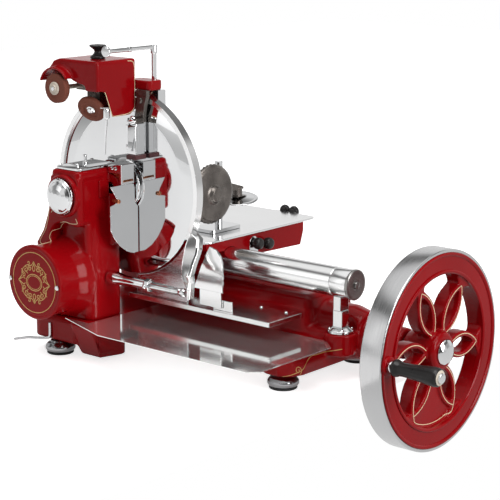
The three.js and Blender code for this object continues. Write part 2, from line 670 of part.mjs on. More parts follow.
function addBed() {
  const c = [TUBE_Y, TUBE_Z];
  add("guide_tube", "chrome", turned("x", c, [
    [0, TUBE_X0], [TUBE_R - 2, TUBE_X0], [TUBE_R, TUBE_X0 + 2], [TUBE_R, TUBE_X1], [0, TUBE_X1],
  ], 32));
  add("tube_end_cap", "steel", turned("x", c, [
    [0, TUBE_X1 + GAP], [TUBE_R + 1, TUBE_X1 + GAP], [TUBE_R + 1, TUBE_X1 + 5], [TUBE_R - 2, TUBE_X1 + 6],
    [5, TUBE_X1 + 6], [4, TUBE_X1 + 9], [0, TUBE_X1 + 9],
  ], 32));
  const post = join(
    box(POST_X - 9, POST_X + 9, TUBE_Y - 9, TUBE_Y + 9, POST_FOOT + 8, 118),
    box(POST_X - 7, POST_X + 7, TUBE_Y - 11, TUBE_Y + 11, 118, TUBE_Z - 10),
    turned("z", [POST_X, TUBE_Y], [
      [0, POST_FOOT], [22, POST_FOOT], [22, POST_FOOT + 4], [14, POST_FOOT + 9], [0, POST_FOOT + 9],
    ], 24),
  ).subtract(rod("x", c, TUBE_R + GAP, 340, 420, 32));
  add("tube_post", "chrome", post);
  add("slide_bed", "chrome", join(
    box(COL_X1 + 6 + GAP, 312, -4, SHELF_Y1, SHELF_Z - 8, SHELF_Z),
    box(BAR_X1 + 8, BAR_X1 + 48, 6, 9, SHELF_Z - 1, SHELF_Z + 17),
  ));
  const plate = slab("y", [
    [BAR_X1 - 28, 133], [BAR_X1 + 34, 133], [BAR_X1 + 33, 182], [BAR_X1 + 28, 194], [BAR_X1 + 20, 202],
    [BAR_X1 + 6, 206], [BAR_X1, 196], [BAR_X1 - 12, 172],
  ], -1, 3);
  add("gauge_plate", "chrome", plate.add(box(BAR_X1 - 18, BAR_X1 + 28, 2, 6 - GAP, 106, 140)));
}

// Carriage and table

function carriage() {
  const c = [TUBE_Y, TUBE_Z];
  const sleeve = rod("x", c, TUBE_R + 10, CARRIAGE_X0 - 4, TABLE_X1 - 28, 32);
  const web = slab("x", [
    [26, CARRIAGE_TOP], [30, 188], [52, 184], [120, 176], [168, 163], [276, 160], [284, 184],
    [284, CARRIAGE_TOP],
  ], CARRIAGE_X0, TABLE_X1 - 6);
  const hollow = slab("x", [
    [40, 192], [124, 184], [170, 174], [178, 150], [264, 150], [272, 186], [272, 196], [40, 196],
  ], CARRIAGE_X0 + 6, TABLE_X1 - 14);
  const made = web.subtract(hollow).add(sleeve);
  return made.subtract(rod("x", c, TUBE_R + RUN, -200, 500, 32));
}

function addCarriage() {
  add("carriage", "enamel", carriage());
  const z0 = CARRIAGE_TOP + GAP;
  const plan = rounded(TABLE_X0, TABLE_X1, TABLE_Y0, TABLE_Y1, 14, 5);
  const lug = box(62, 106, TABLE_Y1 - 2, TABLE_Y1 + 4, z0 - 9, z0 + TABLE_T);
  add("meat_table", "chrome", slab("z", plan, z0, z0 + TABLE_T).add(lug));
  const side = TABLE_X1 - 6 + GAP;
  for (const [name, y, z] of [["front", 148, 184], ["rear", 175, 180]]) {
    add("side_knob_" + name, "black", turned("x", [y, z], [
      [0, side], [6, side], [6, side + 4], [10, side + 7], [10, side + 15], [8, side + 18], [0, side + 18],
    ], 20));
  }
  const top = z0 + TABLE_T;
  const rear = TABLE_Y1 + 4 + GAP;
  for (const [name, x] of [["left", 74], ["right", 94.5]]) {
    add("stop_knob_" + name, "black", turned("y", [x, top - 1], [
      [0, rear], [5, rear], [5, rear + 3], [9.5, rear + 5], [9.5, rear + 12], [7, rear + 15], [0, rear + 15],
    ], 20));
  }
  addHolder(top);
}

function addHolder(top) {
  const y = 96;
  add("holder_post", "chrome", join(
    slab("z", rounded(70, 120, y - 16, y + 60, 8, 3), top + GAP, top + 6),
    rod("z", [84, y + 40], 7, top + 3, 318, 20),
  ));
  const arm = join(
    box(74, 96, y - 30, y + 54, 262, 284),
    slab("x", [[y + 50, 264], [y + 95, 264], [y + 95, 268], [y + 50, 282]], 79, 93),
    rod("z", [86, y + 86], 9, 252.3, 268, 20),
  );
  add("holder_arm", "dark", arm.subtract(rod("z", [84, y + 40], 7 + GAP, 200, 400, 20)));
  add("holder_plate", "chrome", slanted([86, y + 86, 246], [0.1, -0.12, 0.99], [
    [0, 0], [34, 0], [37, 1.5], [36, 3], [10, 4.5], [0, 4.5],
  ], 36));
  const x = 96 + GAP;
  add("holder_wheel", "dark", turned("x", [y - 16, 273], [
    [0, x], [12, x], [12, x + 12], [44, x + 14], [50, x + 18], [50, x + 24], [44, x + 28], [16, x + 28],
    [12, x + 36], [0, x + 36],
  ], 36));
}

// Receiving tray and release lever

function addTray() {
  const plan = [
    [-44, -107], [74, -148], [388, -148], [402, -134], [402, 40], [380, 60], [366, 66], [12, 66],
    [12, -107],
  ];
  add("receiving_tray", "chrome", slab("z", plan, TRAY_Z, TRAY_Z + 1.6));
}

function addLever() {
  const v = (x, y, z) => new THREE.Vector3(x, y, z);
  const y = -104 - GAP - LEVER_R;
  const corners = [v(-82, y, 54), v(-82, y, 31), v(-94, y, 25), v(-138, y, 18), v(-172, y, 9)];
  add("release_lever", "steel", wire(corners, LEVER_R, 4, 10));
}

// Sharpener

function hood() {
  const [sx, , sz] = STONE;
  const front = [
    [HOOD_X1, HOOD_TOP - 3], [HOOD_X1 - 3, HOOD_TOP], [-60, HOOD_TOP], [-72, HOOD_TOP - 4],
    [HOOD_X0 + 5, HOOD_TOP - 20], [HOOD_X0, HOOD_TOP - 38], ...arc(sx - 2, sz, 31, 163, 24, 10),
    [HOOD_X1, HOOD_TOP - 49],
  ];
  const right = [
    [HOOD_Y0, HOOD_TOP - 49], [-76, HOOD_TOP - 51], [-62, HOOD_TOP - 93], [-20, HOOD_TOP - 92],
    [-9, HOOD_TOP - 85], [HOOD_Y1, HOOD_TOP - 70],
    [HOOD_Y1, HOOD_TOP - 3], [HOOD_Y1 - 3, HOOD_TOP], [HOOD_Y0 + 3, HOOD_TOP], [HOOD_Y0, HOOD_TOP - 3],
  ];
  const room = slab("y", [
    [HOOD_X1 - HOOD_T, HOOD_TOP - 5], [-62, HOOD_TOP - 5], [-76, HOOD_TOP - 14], [HOOD_X0 + 6, HOOD_TOP - 38],
    [HOOD_X0 + 6, HOOD_TOP - 120], [HOOD_X1 - HOOD_T, HOOD_TOP - 120],
  ], HOOD_Y0 + HOOD_T, HOOD_Y1 - HOOD_T);
  const mudguard = slab("y", [
    ...arc(sx - 2, sz, 35, 163, 30, 12), ...arc(sx - 2, sz, 31, 30, 163, 12),
  ], STONE[1] - STONE_T / 2 - 3, HOOD_Y0 + HOOD_T);
  return slab("y", front, HOOD_Y0, HOOD_Y1)
    .add(slab("x", right, 0, HOOD_X1))
    .subtract(room)
    .add(mudguard);
}

function addSharpener() {
  add("sharpener_hood", "enamel", hood());
  add("hood_knob", "black", turned("z", [-6, -58], [
    [0, HOOD_TOP + GAP], [11, HOOD_TOP + GAP], [13, HOOD_TOP + 3], [11, HOOD_TOP + 6], [6, HOOD_TOP + 9],
    [6, HOOD_TOP + 12], [11, HOOD_TOP + 17], [14, HOOD_TOP + 20], [14, HOOD_TOP + 22], [0, HOOD_TOP + 23],
  ], 24));
  addStones();
  addWiper();
  addArm();
}

function addStones() {
  const [sx, sy, sz] = STONE;
  const front = sy - STONE_T / 2;
  add("upper_stone", "stone", tubeRing("y", [sx, sz], STONE_R, 7, front, front + STONE_T, 32));
  add("stone_spindle", "chrome", turned("y", [sx, sz], [
    [0, -22], [4, -22], [4, HOOD_Y0 + 8], [6.6, HOOD_Y0 + 7], [6.6, front], [11, front - GAP],
    [10, front - 3], [6, front - 5], [0, front - 5],
  ], 20));
  add("lower_stone", "stone", slanted(LOW_STONE, LOW_STONE_AXIS, [
    [0, -4], [23, -4], [24, 4], [15, 6], [12, 3], [0, 3],
  ], 32));
  const behind = new THREE.Vector3(...LOW_STONE_AXIS).normalize();
  const back = LOW_STONE.map((v, i) => v - behind.getComponent(i) * (4 + GAP));
  const stem = slanted(back, [-behind.x, -behind.y, -behind.z], [[0, 0], [6, 0], [6, 14], [0, 14]], 16);
  const frame = join(
    box(-72, HOOD_X1 - HOOD_T - GAP, -44, HOOD_Y1 - HOOD_T - GAP, ARM_Z - 4, ARM_Z + 13),
    box(-24, 4, -66, -40, ARM_Z - 24, ARM_Z + 2),
    stem,
  );
  add("stone_frame", "dark", frame.subtract(rod("y", [sx, sz], 4 + GAP, -80, 40, 20)));
}

function addWiper() {
  const top = ARM_Z - 52;
  const foot = BLADE_Z + 58;
  add("wiper_holder", "chrome", slab("x", [
    [-30, foot], [-8, foot], [-8, top], [-26, top], [-30, top - 6],
  ], 31, 49));
  add("wiper_felt", "dark", box(29, 51, -32, -6, foot - 8, foot - GAP));
}

function addArm() {
  const [px, py] = POST;
  const arm = join(
    box(8, 60, HOOD_Y1 + GAP, py + 8, ARM_Z, ARM_Z + ARM_T),
    box(HOOD_X1 + 1, 60, -30, 0, ARM_Z, ARM_Z + ARM_T),
    box(HOOD_X1 + 1, 51, -30, -9, ARM_Z - 52 + GAP, ARM_Z + 2),
  );
  const bore = rod("z", POST, POST_R + GAP, ARM_Z - 68, ROD_Z, 16);
  add("sharpener_arm", "enamel", arm.subtract(bore));
  const seat = box(px - 16, px + 17, RING_Y1 + GAP, py + 9, ARM_Z - 48, ARM_Z - GAP);
  add("arm_seat", "chrome", seat.subtract(bore));
  add("lift_handle", "chrome", join(
    rod("z", POST, POST_R, ARM_Z - 46, ROD_Z + 4, 16),
    rod("y", [px, ROD_Z], 3.6, HOOD_Y0 + 6, py, 16),
    rod("y", [px, ROD_Z], 9, HOOD_Y0 + 3, HOOD_Y0 + 7, 20),
  ));
}

add("base_casting", "enamel", baseCasting());
addFeet();
addColumn();
addBlade();
addGuard();
addDeflector();
addFlywheel();
addDrive();
addBed();
addCarriage();
addTray();
addLever();
addSharpener();

group.position.set(-FEET.left_front[0], -FEET.left_front[1], 0);
export default group;
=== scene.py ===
import json
import math

import bmesh
import bpy
from mathutils import Matrix, Vector
from mathutils.bvhtree import BVHTree


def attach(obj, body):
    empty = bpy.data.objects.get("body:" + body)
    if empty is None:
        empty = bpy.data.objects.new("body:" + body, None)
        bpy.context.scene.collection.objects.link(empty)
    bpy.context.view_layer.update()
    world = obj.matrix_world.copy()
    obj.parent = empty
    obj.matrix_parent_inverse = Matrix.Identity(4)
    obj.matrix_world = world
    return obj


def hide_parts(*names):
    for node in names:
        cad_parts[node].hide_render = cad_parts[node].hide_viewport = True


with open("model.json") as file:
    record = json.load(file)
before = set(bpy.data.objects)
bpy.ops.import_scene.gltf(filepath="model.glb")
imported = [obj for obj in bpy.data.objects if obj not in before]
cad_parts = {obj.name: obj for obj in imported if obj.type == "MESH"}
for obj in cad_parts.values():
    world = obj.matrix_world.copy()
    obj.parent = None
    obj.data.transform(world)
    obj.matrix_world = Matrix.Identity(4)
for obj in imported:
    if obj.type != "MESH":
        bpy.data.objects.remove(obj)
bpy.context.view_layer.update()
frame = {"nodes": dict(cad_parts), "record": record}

# The part's own drawing is in millimetres round the blade's axis. The row's origin is the middle of
# the left front sole.
SHIFT = Vector((75, 90, 0))
BLADE_Z = 286
DRUM = (-62, 136)
COVER_Y = -158
CHAIN_Y = -30
DIAL = (-35, 278)
BAR = (-50, 137)
WHEEL = (140, 68)
WHEEL_FACE = 540
ROSE_CENTRE = 81
ROSE_LINE = 58
ROSE_TURN = 26
FAN_RING = 4
FAN_FOOT = 118.5
CRANK = (-2, 76)
TUBE = (88, 163)
TUBE_X1 = 408
COL_TOP = 320
COL_FRONT = -112
STONE = (-55, -109, 452.5)
LOW_STONE = (-8, -72, 420)
LOW_STONE_AXIS = (0.22, -0.82, -0.53)
HOLDER_WHEEL = (80, 273)
LEVER_Y = -106.7
FEET = {"left_front": (-75, -90), "right_front": (337, 2), "right_rear": (334, 201), "left_rear": (-75, 190)}
FRAME = "machine_frame"

X = Vector((1, 0, 0))
Y = Vector((0, 1, 0))
Z = Vector((0, 0, 1))
TAU = 2 * math.pi

BODY_OF = {n: b for b, ns in frame["record"]["behaviour"]["bodies"].items() for n in ns}
SLOT_OF = {s["node"]: s["material_slot"] for s in frame["record"]["subparts"]}


def at(p):
    return (Vector(p) + SHIFT) / 1000


# Node trees, for materials, the world and what repeats


def step(tree, kind, *links, **settings):
    node = tree.nodes.new(kind)
    for key, value in settings.items():
        setattr(node, key, value)
    for socket, value in links:
        if isinstance(value, bpy.types.NodeSocket):
            tree.links.new(value, node.inputs[socket])
        else:
            node.inputs[socket].default_value = value
    return node


def maths(tree, operation, *values):
    return step(tree, "ShaderNodeMath", *enumerate(values), operation=operation).outputs[0]


def ramp(tree, value, stops):
    node = step(tree, "ShaderNodeValToRGB", ("Fac", value))
    while len(node.color_ramp.elements) < len(stops):
        node.color_ramp.elements.new(0.5)
    for element, (where, colour) in zip(node.color_ramp.elements, stops):
        element.position = where
        element.color = (*colour, 1) if hasattr(colour, "__len__") else (colour, colour, colour, 1)
    return node.outputs["Color"]


# Finishes


def shader(name, colour, metal, rough, **sockets):
    made = bpy.data.materials.new(name)
    made.use_nodes = True
    made.diffuse_color = (*colour, 1)
    surface = made.node_tree.nodes["Principled BSDF"]
    plain = {"Base Color": (*colour, 1), "Metallic": metal, "Roughness": rough}
    for key, value in (plain | sockets).items():
        surface.inputs[key.replace("_", " ")].default_value = value
    return made, surface


def mapped(tree, **places):
    coords = step(tree, "ShaderNodeTexCoord").outputs["Object"]
    return step(tree, "ShaderNodeMapping", ("Vector", coords), *places.items()).outputs["Vector"]


# A cloudy pattern. Stretch draws it out into brushed lines.
def grain(scale, detail=3.0, rough=0.5, stretch=(1, 1, 1)):
    return lambda tree: step(
        tree, "ShaderNodeTexNoise", ("Vector", mapped(tree, Scale=stretch)), ("Scale", scale),
        ("Detail", detail), ("Roughness", rough)).outputs["Fac"]


# The fine rings that a lathe leaves round an axis.
def rings(axis, centre, scale):
    return lambda tree: step(
        tree, "ShaderNodeTexWave", ("Vector", mapped(tree, Location=-at(centre))), ("Scale", scale),
        ("Distortion", 1.2), ("Detail", 3), ("Detail Scale", 1.5), wave_type="RINGS",
        rings_direction=axis).outputs["Fac"]


def vary(pattern, low, high, first=0.3, last=0.7):
    return pattern, [(first, low), (last, high)]


# Shades and gloss vary the colour and the roughness. Relief is a pattern, its strength and its depth.
def finish(name, colour, metal, rough, shades=None, gloss=None, relief=None, **sockets):
    made, surface = shader(name, colour, metal, rough, **sockets)
    tree = made.node_tree
    for socket, varied in (("Base Color", shades), ("Roughness", gloss)):
        if varied:
            pattern, stops = varied
            tree.links.new(ramp(tree, pattern(tree), stops), surface.inputs[socket])
    if relief:
        pattern, strength, depth = relief
        raised = step(tree, "ShaderNodeBump", ("Strength", strength), ("Distance", depth),
                      ("Height", pattern(tree)))
        tree.links.new(raised.outputs["Normal"], surface.inputs["Normal"])
    return made


def red_enamel():
    return finish(
        "red_enamel", (0.28, 0.002, 0.004), 0.0, 0.2,
        vary(grain(7, 2), (0.25, 0.0012, 0.003), (0.31, 0.0026, 0.005)), vary(grain(60), 0.14, 0.24),
        (grain(130, 2), 0.035, 0.0006), Specular_IOR_Level=0.08, Coat_Weight=0.12, Coat_Roughness=0.03)


def mirror_chrome():
    return finish(
        "mirror_chrome", (0.72, 0.725, 0.73), 1.0, 0.07,
        vary(grain(6, 2), (0.69, 0.695, 0.70), (0.76, 0.765, 0.77)),
        vary(grain(30, 4), 0.035, 0.11, last=0.75), (grain(900, 2, 0.5, (0.2, 1, 1)), 0.012, 0.0001))


def satin_chrome():
    return finish(
        "satin_chrome", (0.86, 0.86, 0.86), 1.0, 0.16,
        vary(grain(7, 2), 0.84, 0.88), vary(grain(18, 2), 0.14, 0.18))


def pale_tray():
    return finish(
        "pale_tray", (0.88, 0.88, 0.88), 0.92, 0.06,
        vary(grain(9, 2), (0.87, 0.87, 0.86), (0.91, 0.91, 0.90)), vary(grain(20), 0.05, 0.09))


def dark_chrome():
    return finish(
        "dark_chrome", (0.30, 0.30, 0.31), 1.0, 0.1,
        vary(grain(12, 2), (0.26, 0.26, 0.27), (0.35, 0.35, 0.36)), vary(grain(40), 0.06, 0.14))


def mid_steel():
    return finish(
        "mid_steel", (0.34, 0.33, 0.32), 1.0, 0.3,
        vary(grain(14), (0.31, 0.30, 0.29), (0.38, 0.37, 0.36)),
        vary(rings("X", (0, *TUBE), 300), 0.24, 0.36, 0.2, 0.8))


def ground_steel():
    fine = grain(1400, 2, 0.6, (0.05, 1, 1))
    return finish(
        "ground_steel", (0.62, 0.62, 0.63), 1.0, 0.25,
        vary(grain(12), (0.58, 0.58, 0.59), (0.66, 0.66, 0.67)), vary(fine, 0.16, 0.3), (fine, 0.05, 0.0002))


def rim_steel():
    lines = grain(900, 2, 0.6, (1, 0.03, 0.03))
    return finish(
        "rim_steel", (0.58, 0.58, 0.585), 1.0, 0.2,
        vary(grain(9, 2), (0.55, 0.55, 0.555), (0.61, 0.61, 0.615)), vary(lines, 0.15, 0.27),
        (lines, 0.03, 0.0001))


def blade_steel():
    turning = rings("Y", (0, 0, BLADE_Z), 260)
    return finish(
        "blade_steel", (0.78, 0.785, 0.79), 1.0, 0.10,
        vary(grain(8), (0.70, 0.705, 0.71), (0.76, 0.765, 0.77)), vary(turning, 0.02, 0.05, 0.2, 0.8),
        (turning, 0.006, 0.0001))


def black_resin():
    return finish(
        "black_resin", (0.012, 0.011, 0.011), 0.0, 0.3,
        vary(grain(20), (0.009, 0.008, 0.008), (0.018, 0.016, 0.016)), vary(grain(80, 4), 0.26, 0.4),
        (grain(300), 0.04, 0.0003), Specular_IOR_Level=0.25, Coat_Weight=0.1)


def dark_iron():
    return finish(
        "dark_iron", (0.03, 0.027, 0.025), 0.85, 0.32,
        vary(grain(40, 4), (0.10, 0.088, 0.08), (0.19, 0.17, 0.155)), vary(grain(120), 0.22, 0.42),
        (grain(400), 0.06, 0.0003))


def brown_stone():
    return finish(
        "brown_stone", (0.20, 0.062, 0.04), 0.0, 0.75,
        vary(grain(900, 4, 0.7), (0.14, 0.038, 0.024), (0.26, 0.088, 0.058)), vary(grain(300), 0.65, 0.85),
        (grain(1500, 3, 0.7), 0.3, 0.0004), Specular_IOR_Level=0.25)


def sole_rubber():
    return finish(
        "sole_rubber", (0.02, 0.02, 0.021), 0.0, 0.7, None, vary(grain(90), 0.6, 0.8),
        (grain(500), 0.2, 0.0004))


def dense_felt():
    return finish(
        "dense_felt", (0.05, 0.012, 0.014), 0.0, 0.95,
        vary(grain(600, 4), (0.04, 0.008, 0.01), (0.10, 0.02, 0.022)), None,
        (grain(1800, 4, 0.7), 0.5, 0.0006), Sheen_Weight=0.3)


def cream_line():
    return finish(
        "cream_line", (0.80, 0.62, 0.38), 0.0, 0.35,
        vary(grain(300), (0.74, 0.55, 0.33), (0.88, 0.72, 0.48)), vary(grain(500, 2), 0.3, 0.45),
        Specular_IOR_Level=0.3)


def gold_line():
    return finish(
        "gold_line", (0.66, 0.42, 0.13), 0.25, 0.35,
        vary(grain(300), (0.56, 0.34, 0.09), (0.76, 0.52, 0.20)), vary(grain(500, 2), 0.28, 0.42),
        Specular_IOR_Level=0.4)


def warm_bronze():
    return finish(
        "warm_bronze", (0.42, 0.15, 0.07), 0.9, 0.25,
        vary(grain(60, 4), (0.33, 0.10, 0.05), (0.52, 0.21, 0.10)), vary(grain(200), 0.2, 0.36))


def pale_hub():
    return finish(
        "pale_hub", (0.62, 0.55, 0.46), 0.0, 0.4,
        vary(grain(250), (0.54, 0.47, 0.38), (0.70, 0.63, 0.54)), None, (grain(600), 0.1, 0.0002))


FINISH = {
    "enamel": red_enamel(),
    "chrome": mirror_chrome(),
    "blade_steel": blade_steel(),
    "steel": ground_steel(),
    "dark_steel": dark_iron(),
    "rubber": sole_rubber(),
    "black_grip": black_resin(),
    "grinding_stone": brown_stone(),
    "felt": dense_felt(),
}
CREAM = cream_line()
GOLD = gold_line()
BRONZE = warm_bronze()
PALE = pale_hub()
RIM = rim_steel()
SATIN = satin_chrome()
TRAY = pale_tray()
CAP = mid_steel()
DARK = dark_chrome()


# Making pieces


def placed(name, data):
    made = bpy.data.objects.new(name, data)
    bpy.context.scene.collection.objects.link(made)
    return made


def modify(made, kind, **settings):
    modifier = made.modifiers.new(kind.lower(), kind)
    for key, value in settings.items():
        setattr(modifier, key, value)
    return modifier


def mesh_of(bm, name):
    mesh = bpy.data.meshes.new(name)
    bm.to_mesh(mesh)
    bm.free()
    return mesh


# The mesh that an object's modifiers make of it. The object itself goes.
def baked(made):
    plain = bpy.data.meshes.new_from_object(made.evaluated_get(bpy.context.evaluated_depsgraph_get()))
    bpy.data.objects.remove(made)
    return plain


# A piece has its slot's finish unless it is given another.
def piece(name, mesh, body, slot=None, material=None):
    made = placed(name, mesh)
    mesh.materials.clear()
    mesh.materials.append(material or FINISH[slot])
    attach(made, body)
    return made


def smooth(mesh, limit):
    bm = bmesh.new()
    bm.from_mesh(mesh)
    for face in bm.faces:
        face.smooth = True
    for edge in bm.edges:
        edge.smooth = len(edge.link_faces) == 2 and edge.calc_face_angle(0) < math.radians(limit)
    bm.to_mesh(mesh)
    bm.free()


def soften(made, width, segments, limit):
    modify(made, "BEVEL", width=width / 1000, segments=segments, limit_method="ANGLE",
           angle_limit=math.radians(limit), harden_normals=True, use_clamp_overlap=True)


def clean_copy(node, name):
    bm = bmesh.new()
    bm.from_mesh(frame["nodes"][node].data)
    bmesh.ops.remove_doubles(bm, verts=bm.verts, dist=2e-6)
    bmesh.ops.dissolve_limit(bm, angle_limit=math.radians(0.6), verts=bm.verts, edges=bm.edges)
    return mesh_of(bm, name)


def skin(node, mesh, material=None):
    made = piece(node + "_skin", mesh, BODY_OF[node], SLOT_OF[node], material)
    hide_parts(node)
    return made


# A clean copy of a solid of the part, with its edges softened.
def dressed(node, edge, limit=35, segments=3, material=None):
    mesh = clean_copy(node, node + "_skin")
    smooth(mesh, limit)
    soften(skin(node, mesh, material), edge, segments, limit)


# A casting: the solid's copy with all its corners run round, as sand moulds leave them.
def cast(node, voxel, rounds, share):
    rough = placed(node + "_rough", clean_copy(node, node + "_rough"))
    modify(rough, "REMESH", mode="VOXEL", voxel_size=voxel / 1000)
    modify(rough, "SMOOTH", factor=0.5, iterations=rounds)
    modify(rough, "DECIMATE", ratio=share)
    plain = baked(rough)
    plain.name = node + "_skin"
    smooth(plain, 60)
    return skin(node, plain)


def across(axis):
    axis = Vector(axis).normalized()
    side = axis.cross(Z)
    if side.length < 0.1:
        side = axis.cross(X)
    side.normalize()
    return axis, side, axis.cross(side)


def angles(count, start=0.0):
    return [start + TAU * i / count for i in range(count)]


def polar(centre, radius, angle):
    return centre[0] + radius * math.cos(angle), centre[1] + radius * math.sin(angle)


def pairs(items, closed=False):
    return list(zip(items, items[1:] + items[:1] if closed else items[1:]))


# The item at a place that may lie past the ends: the end item, or the one at the other end of a loop.
def neighbour(items, i, closed=False):
    return items[i % len(items) if closed else min(max(i, 0), len(items) - 1)]


def hoop(bm, centre, u, v, radius, count):
    return [bm.verts.new(centre + (u * math.cos(a) + v * math.sin(a)) * radius) for a in angles(count)]


# A skin over rows of corners. A row may be a single point.
def loft(bm, rows, closed=False, capped=False):
    for a, b in pairs(rows, closed):
        count = max(len(a), len(b))
        for i in range(count):
            j = (i + 1) % count
            corners = [a[i % len(a)], a[j % len(a)], b[j % len(b)], b[i % len(b)]]
            kept = [c for k, c in enumerate(corners) if c not in corners[:k]]
            if len(kept) > 2:
                bm.faces.new(kept)
    if capped:
        bm.faces.new(rows[0])
        bm.faces.new(rows[-1])


# Cuts each corner of a profile with a small curve.
def eased(profile, cut):
    steps = 3
    out = [profile[0]]
    for before, here, after in zip(profile, profile[1:], profile[2:]):
        a, b, c = Vector(before), Vector(here), Vector(after)
        if (a - b).length < 1e-6 or (c - b).length < 1e-6:
            out.append(here)
            continue
        d = min(cut, (a - b).length * 0.45, (c - b).length * 0.45)
        p, q = b + (a - b).normalized() * d, b + (c - b).normalized() * d
        for i in range(steps + 1):
            t = i / steps
            out.append(tuple(p * (1 - t) ** 2 + b * 2 * t * (1 - t) + q * t ** 2))
    out.append(profile[-1])
    return out


# Turned work: profile points are (radius, place along the axis).
def turn(bm, origin, axis, profile, steps, cut, ring=False):
    axis, u, v = across(axis)
    origin = Vector(origin)
    rows = [hoop(bm, origin + axis * h, u, v, r, 1 if r < 1e-4 else steps) for r, h in eased(profile, cut)]
    loft(bm, rows, ring)


# A flat plate from an outline: plane "x", "y" or "z" gives the axis it is thick along.
def plate(bm, plane, outline, lo, hi):
    k = "xyz".index(plane)
    rows = [[bm.verts.new([*p[:k], h, *p[k:]]) for p in outline] for h in (lo, hi)]
    for row in rows:
        bm.faces.new(row)
    loft(bm, rows)


# A smooth line through points, with a new point about every step.
def flow(points, gap, closed=False):
    points = [Vector(p) for p in points]
    out = []
    for i in range(len(points) if closed else len(points) - 1):
        a, b, c, d = (neighbour(points, i + k - 1, closed) for k in range(4))
        count = max(1, round((c - b).length / gap))
        for t in (j / count for j in range(count)):
            out.append(0.5 * (2 * b + (c - a) * t + (2 * a - 5 * b + 4 * c - d) * t ** 2
                              + (3 * b - a - 3 * c + d) * t ** 3))
    if not closed:
        out.append(points[-1])
    return out


# Bent wire or rod. Radius is a number, or a function of the share of the way along.
def wire(bm, points, radius, sides=12, gap=3.0):
    line = flow(points, gap)
    side = across(line[1] - line[0])[1]
    rows = []
    for i, p in enumerate(line):
        ahead = (neighbour(line, i + 1) - neighbour(line, i - 1)).normalized()
        side = (side - ahead * side.dot(ahead)).normalized()
        r = radius(i / (len(line) - 1)) if callable(radius) else radius
        rows.append(hoop(bm, p, side, ahead.cross(side), r, sides))
    loft(bm, rows, capped=True)


def done(bm, name, body, slot=None, material=None, nodes=(), edge=0.0, limit=35, segments=2):
    bmesh.ops.remove_doubles(bm, verts=bm.verts, dist=1e-4)
    bmesh.ops.recalc_face_normals(bm, faces=bm.faces)
    for vert in bm.verts:
        vert.co = at(vert.co)
    mesh = mesh_of(bm, name)
    smooth(mesh, limit)
    made = piece(name, mesh, body, slot, material)
    if edge:
        soften(made, edge, segments, limit)
    if nodes:
        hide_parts(*nodes)


# A piece of turned work alone. Each turning is what turn takes after the mesh.
def spun(name, body, slot, *turnings, **how):
    bm = bmesh.new()
    for turning in turnings:
        turn(bm, *turning)
    done(bm, name, body, slot, **how)


# The same for a solid of the part, which it replaces.
def turned(node, *turnings, **how):
    spun(node + "_skin", BODY_OF[node], SLOT_OF[node], *turnings, nodes=[node], **how)


def leaves_of(made):
    bm = bmesh.new()
    bm.from_mesh(made.data)
    tree = BVHTree.FromBMesh(bm)
    bm.free()
    return tree


# A thin painted line that follows the surface under it. Points are in the part's millimetres, and
# aim is the way in which it is looked for.
def painted(bm, cover, points, aim, width, closed=False, gap=1.5, reach=50):
    proud, sunk, back = 0.22, 0.3, 40
    aim = Vector(aim).normalized()
    spots = []
    for p in flow(points, gap, closed):
        hit, normal, _, _ = cover.ray_cast(at(p - aim * back), aim, (back + reach) / 1000)
        if hit:
            spots.append((hit * 1000 - SHIFT, normal))
    rows = []
    for i, (p, _) in enumerate(spots):
        near = [neighbour(spots, i + k, closed) for k in range(-3, 4)]
        up = sum((q[1] for q in near), Vector()).normalized()
        along = (near[4][0] - near[2][0]).normalized()
        side = up.cross(along).normalized() * width / 2
        rows.append([bm.verts.new(q) for q in (
            p - side + up * proud, p + side + up * proud, p + side - up * sunk, p - side - up * sunk)])
    loft(bm, rows, closed, capped=not closed)


def swirl(centre, r0, r1, a0, a1, steps=16):
    shares = [i / steps for i in range(steps + 1)]
    return [polar(centre, r0 + (r1 - r0) * t, math.radians(a0 + (a1 - a0) * t)) for t in shares]


# What repeats: trees that grow a small shape on given points


def tree_of(name, **sizes):
    tree = bpy.data.node_groups.new(name, "GeometryNodeTree")
    tree.interface.new_socket("Points", in_out="INPUT", socket_type="NodeSocketGeometry")
    for key, value in sizes.items():
        kind = "NodeSocketInt" if isinstance(value, int) else "NodeSocketFloat"
        socket = tree.interface.new_socket(key, in_out="INPUT", socket_type=kind)
        socket.default_value = value
    tree.interface.new_socket("Finish", in_out="INPUT", socket_type="NodeSocketMaterial")
    tree.interface.new_socket("Mesh", in_out="OUTPUT", socket_type="NodeSocketGeometry")
    return tree, tree.nodes.new("NodeGroupInput").outputs, tree.nodes.new("NodeGroupOutput")


def times(tree, a, b):
    return maths(tree, "MULTIPLY", a, b)


def combine(tree, x=0.0, y=0.0, z=0.0):
    return step(tree, "ShaderNodeCombineXYZ", (0, x), (1, y), (2, z)).outputs[0]


def moved(tree, shape, **how):
    return step(tree, "GeometryNodeTransform", ("Geometry", shape), *how.items()).outputs[0]


def marked(tree, name):
    return step(tree, "GeometryNodeInputNamedAttribute", ("Name", name), data_type="FLOAT_VECTOR").outputs[0]


def aimed(tree, vector, axis, *first, **pivot):
    return step(tree, "FunctionNodeAlignRotationToVector", ("Vector", vector), *first, axis=axis,
                **pivot).outputs[0]


def drum(tree, sides, radius, depth):
    return step(tree, "GeometryNodeMeshCylinder", ("Vertices", sides), ("Radius", radius),
                ("Depth", depth)).outputs["Mesh"]


# Puts the shape on each point, makes it real and gives it its finish.
def spread(tree, points, shape, rotation, given, out):
    many = step(tree, "GeometryNodeInstanceOnPoints", ("Points", points), ("Instance", shape),
                ("Rotation", rotation))
    real = step(tree, "GeometryNodeRealizeInstances", ("Geometry", many.outputs[0]))
    last = step(tree, "GeometryNodeSetMaterial", ("Geometry", real.outputs[0]), ("Material", given["Finish"]))
    tree.links.new(last.outputs[0], out.inputs[0])
    return tree


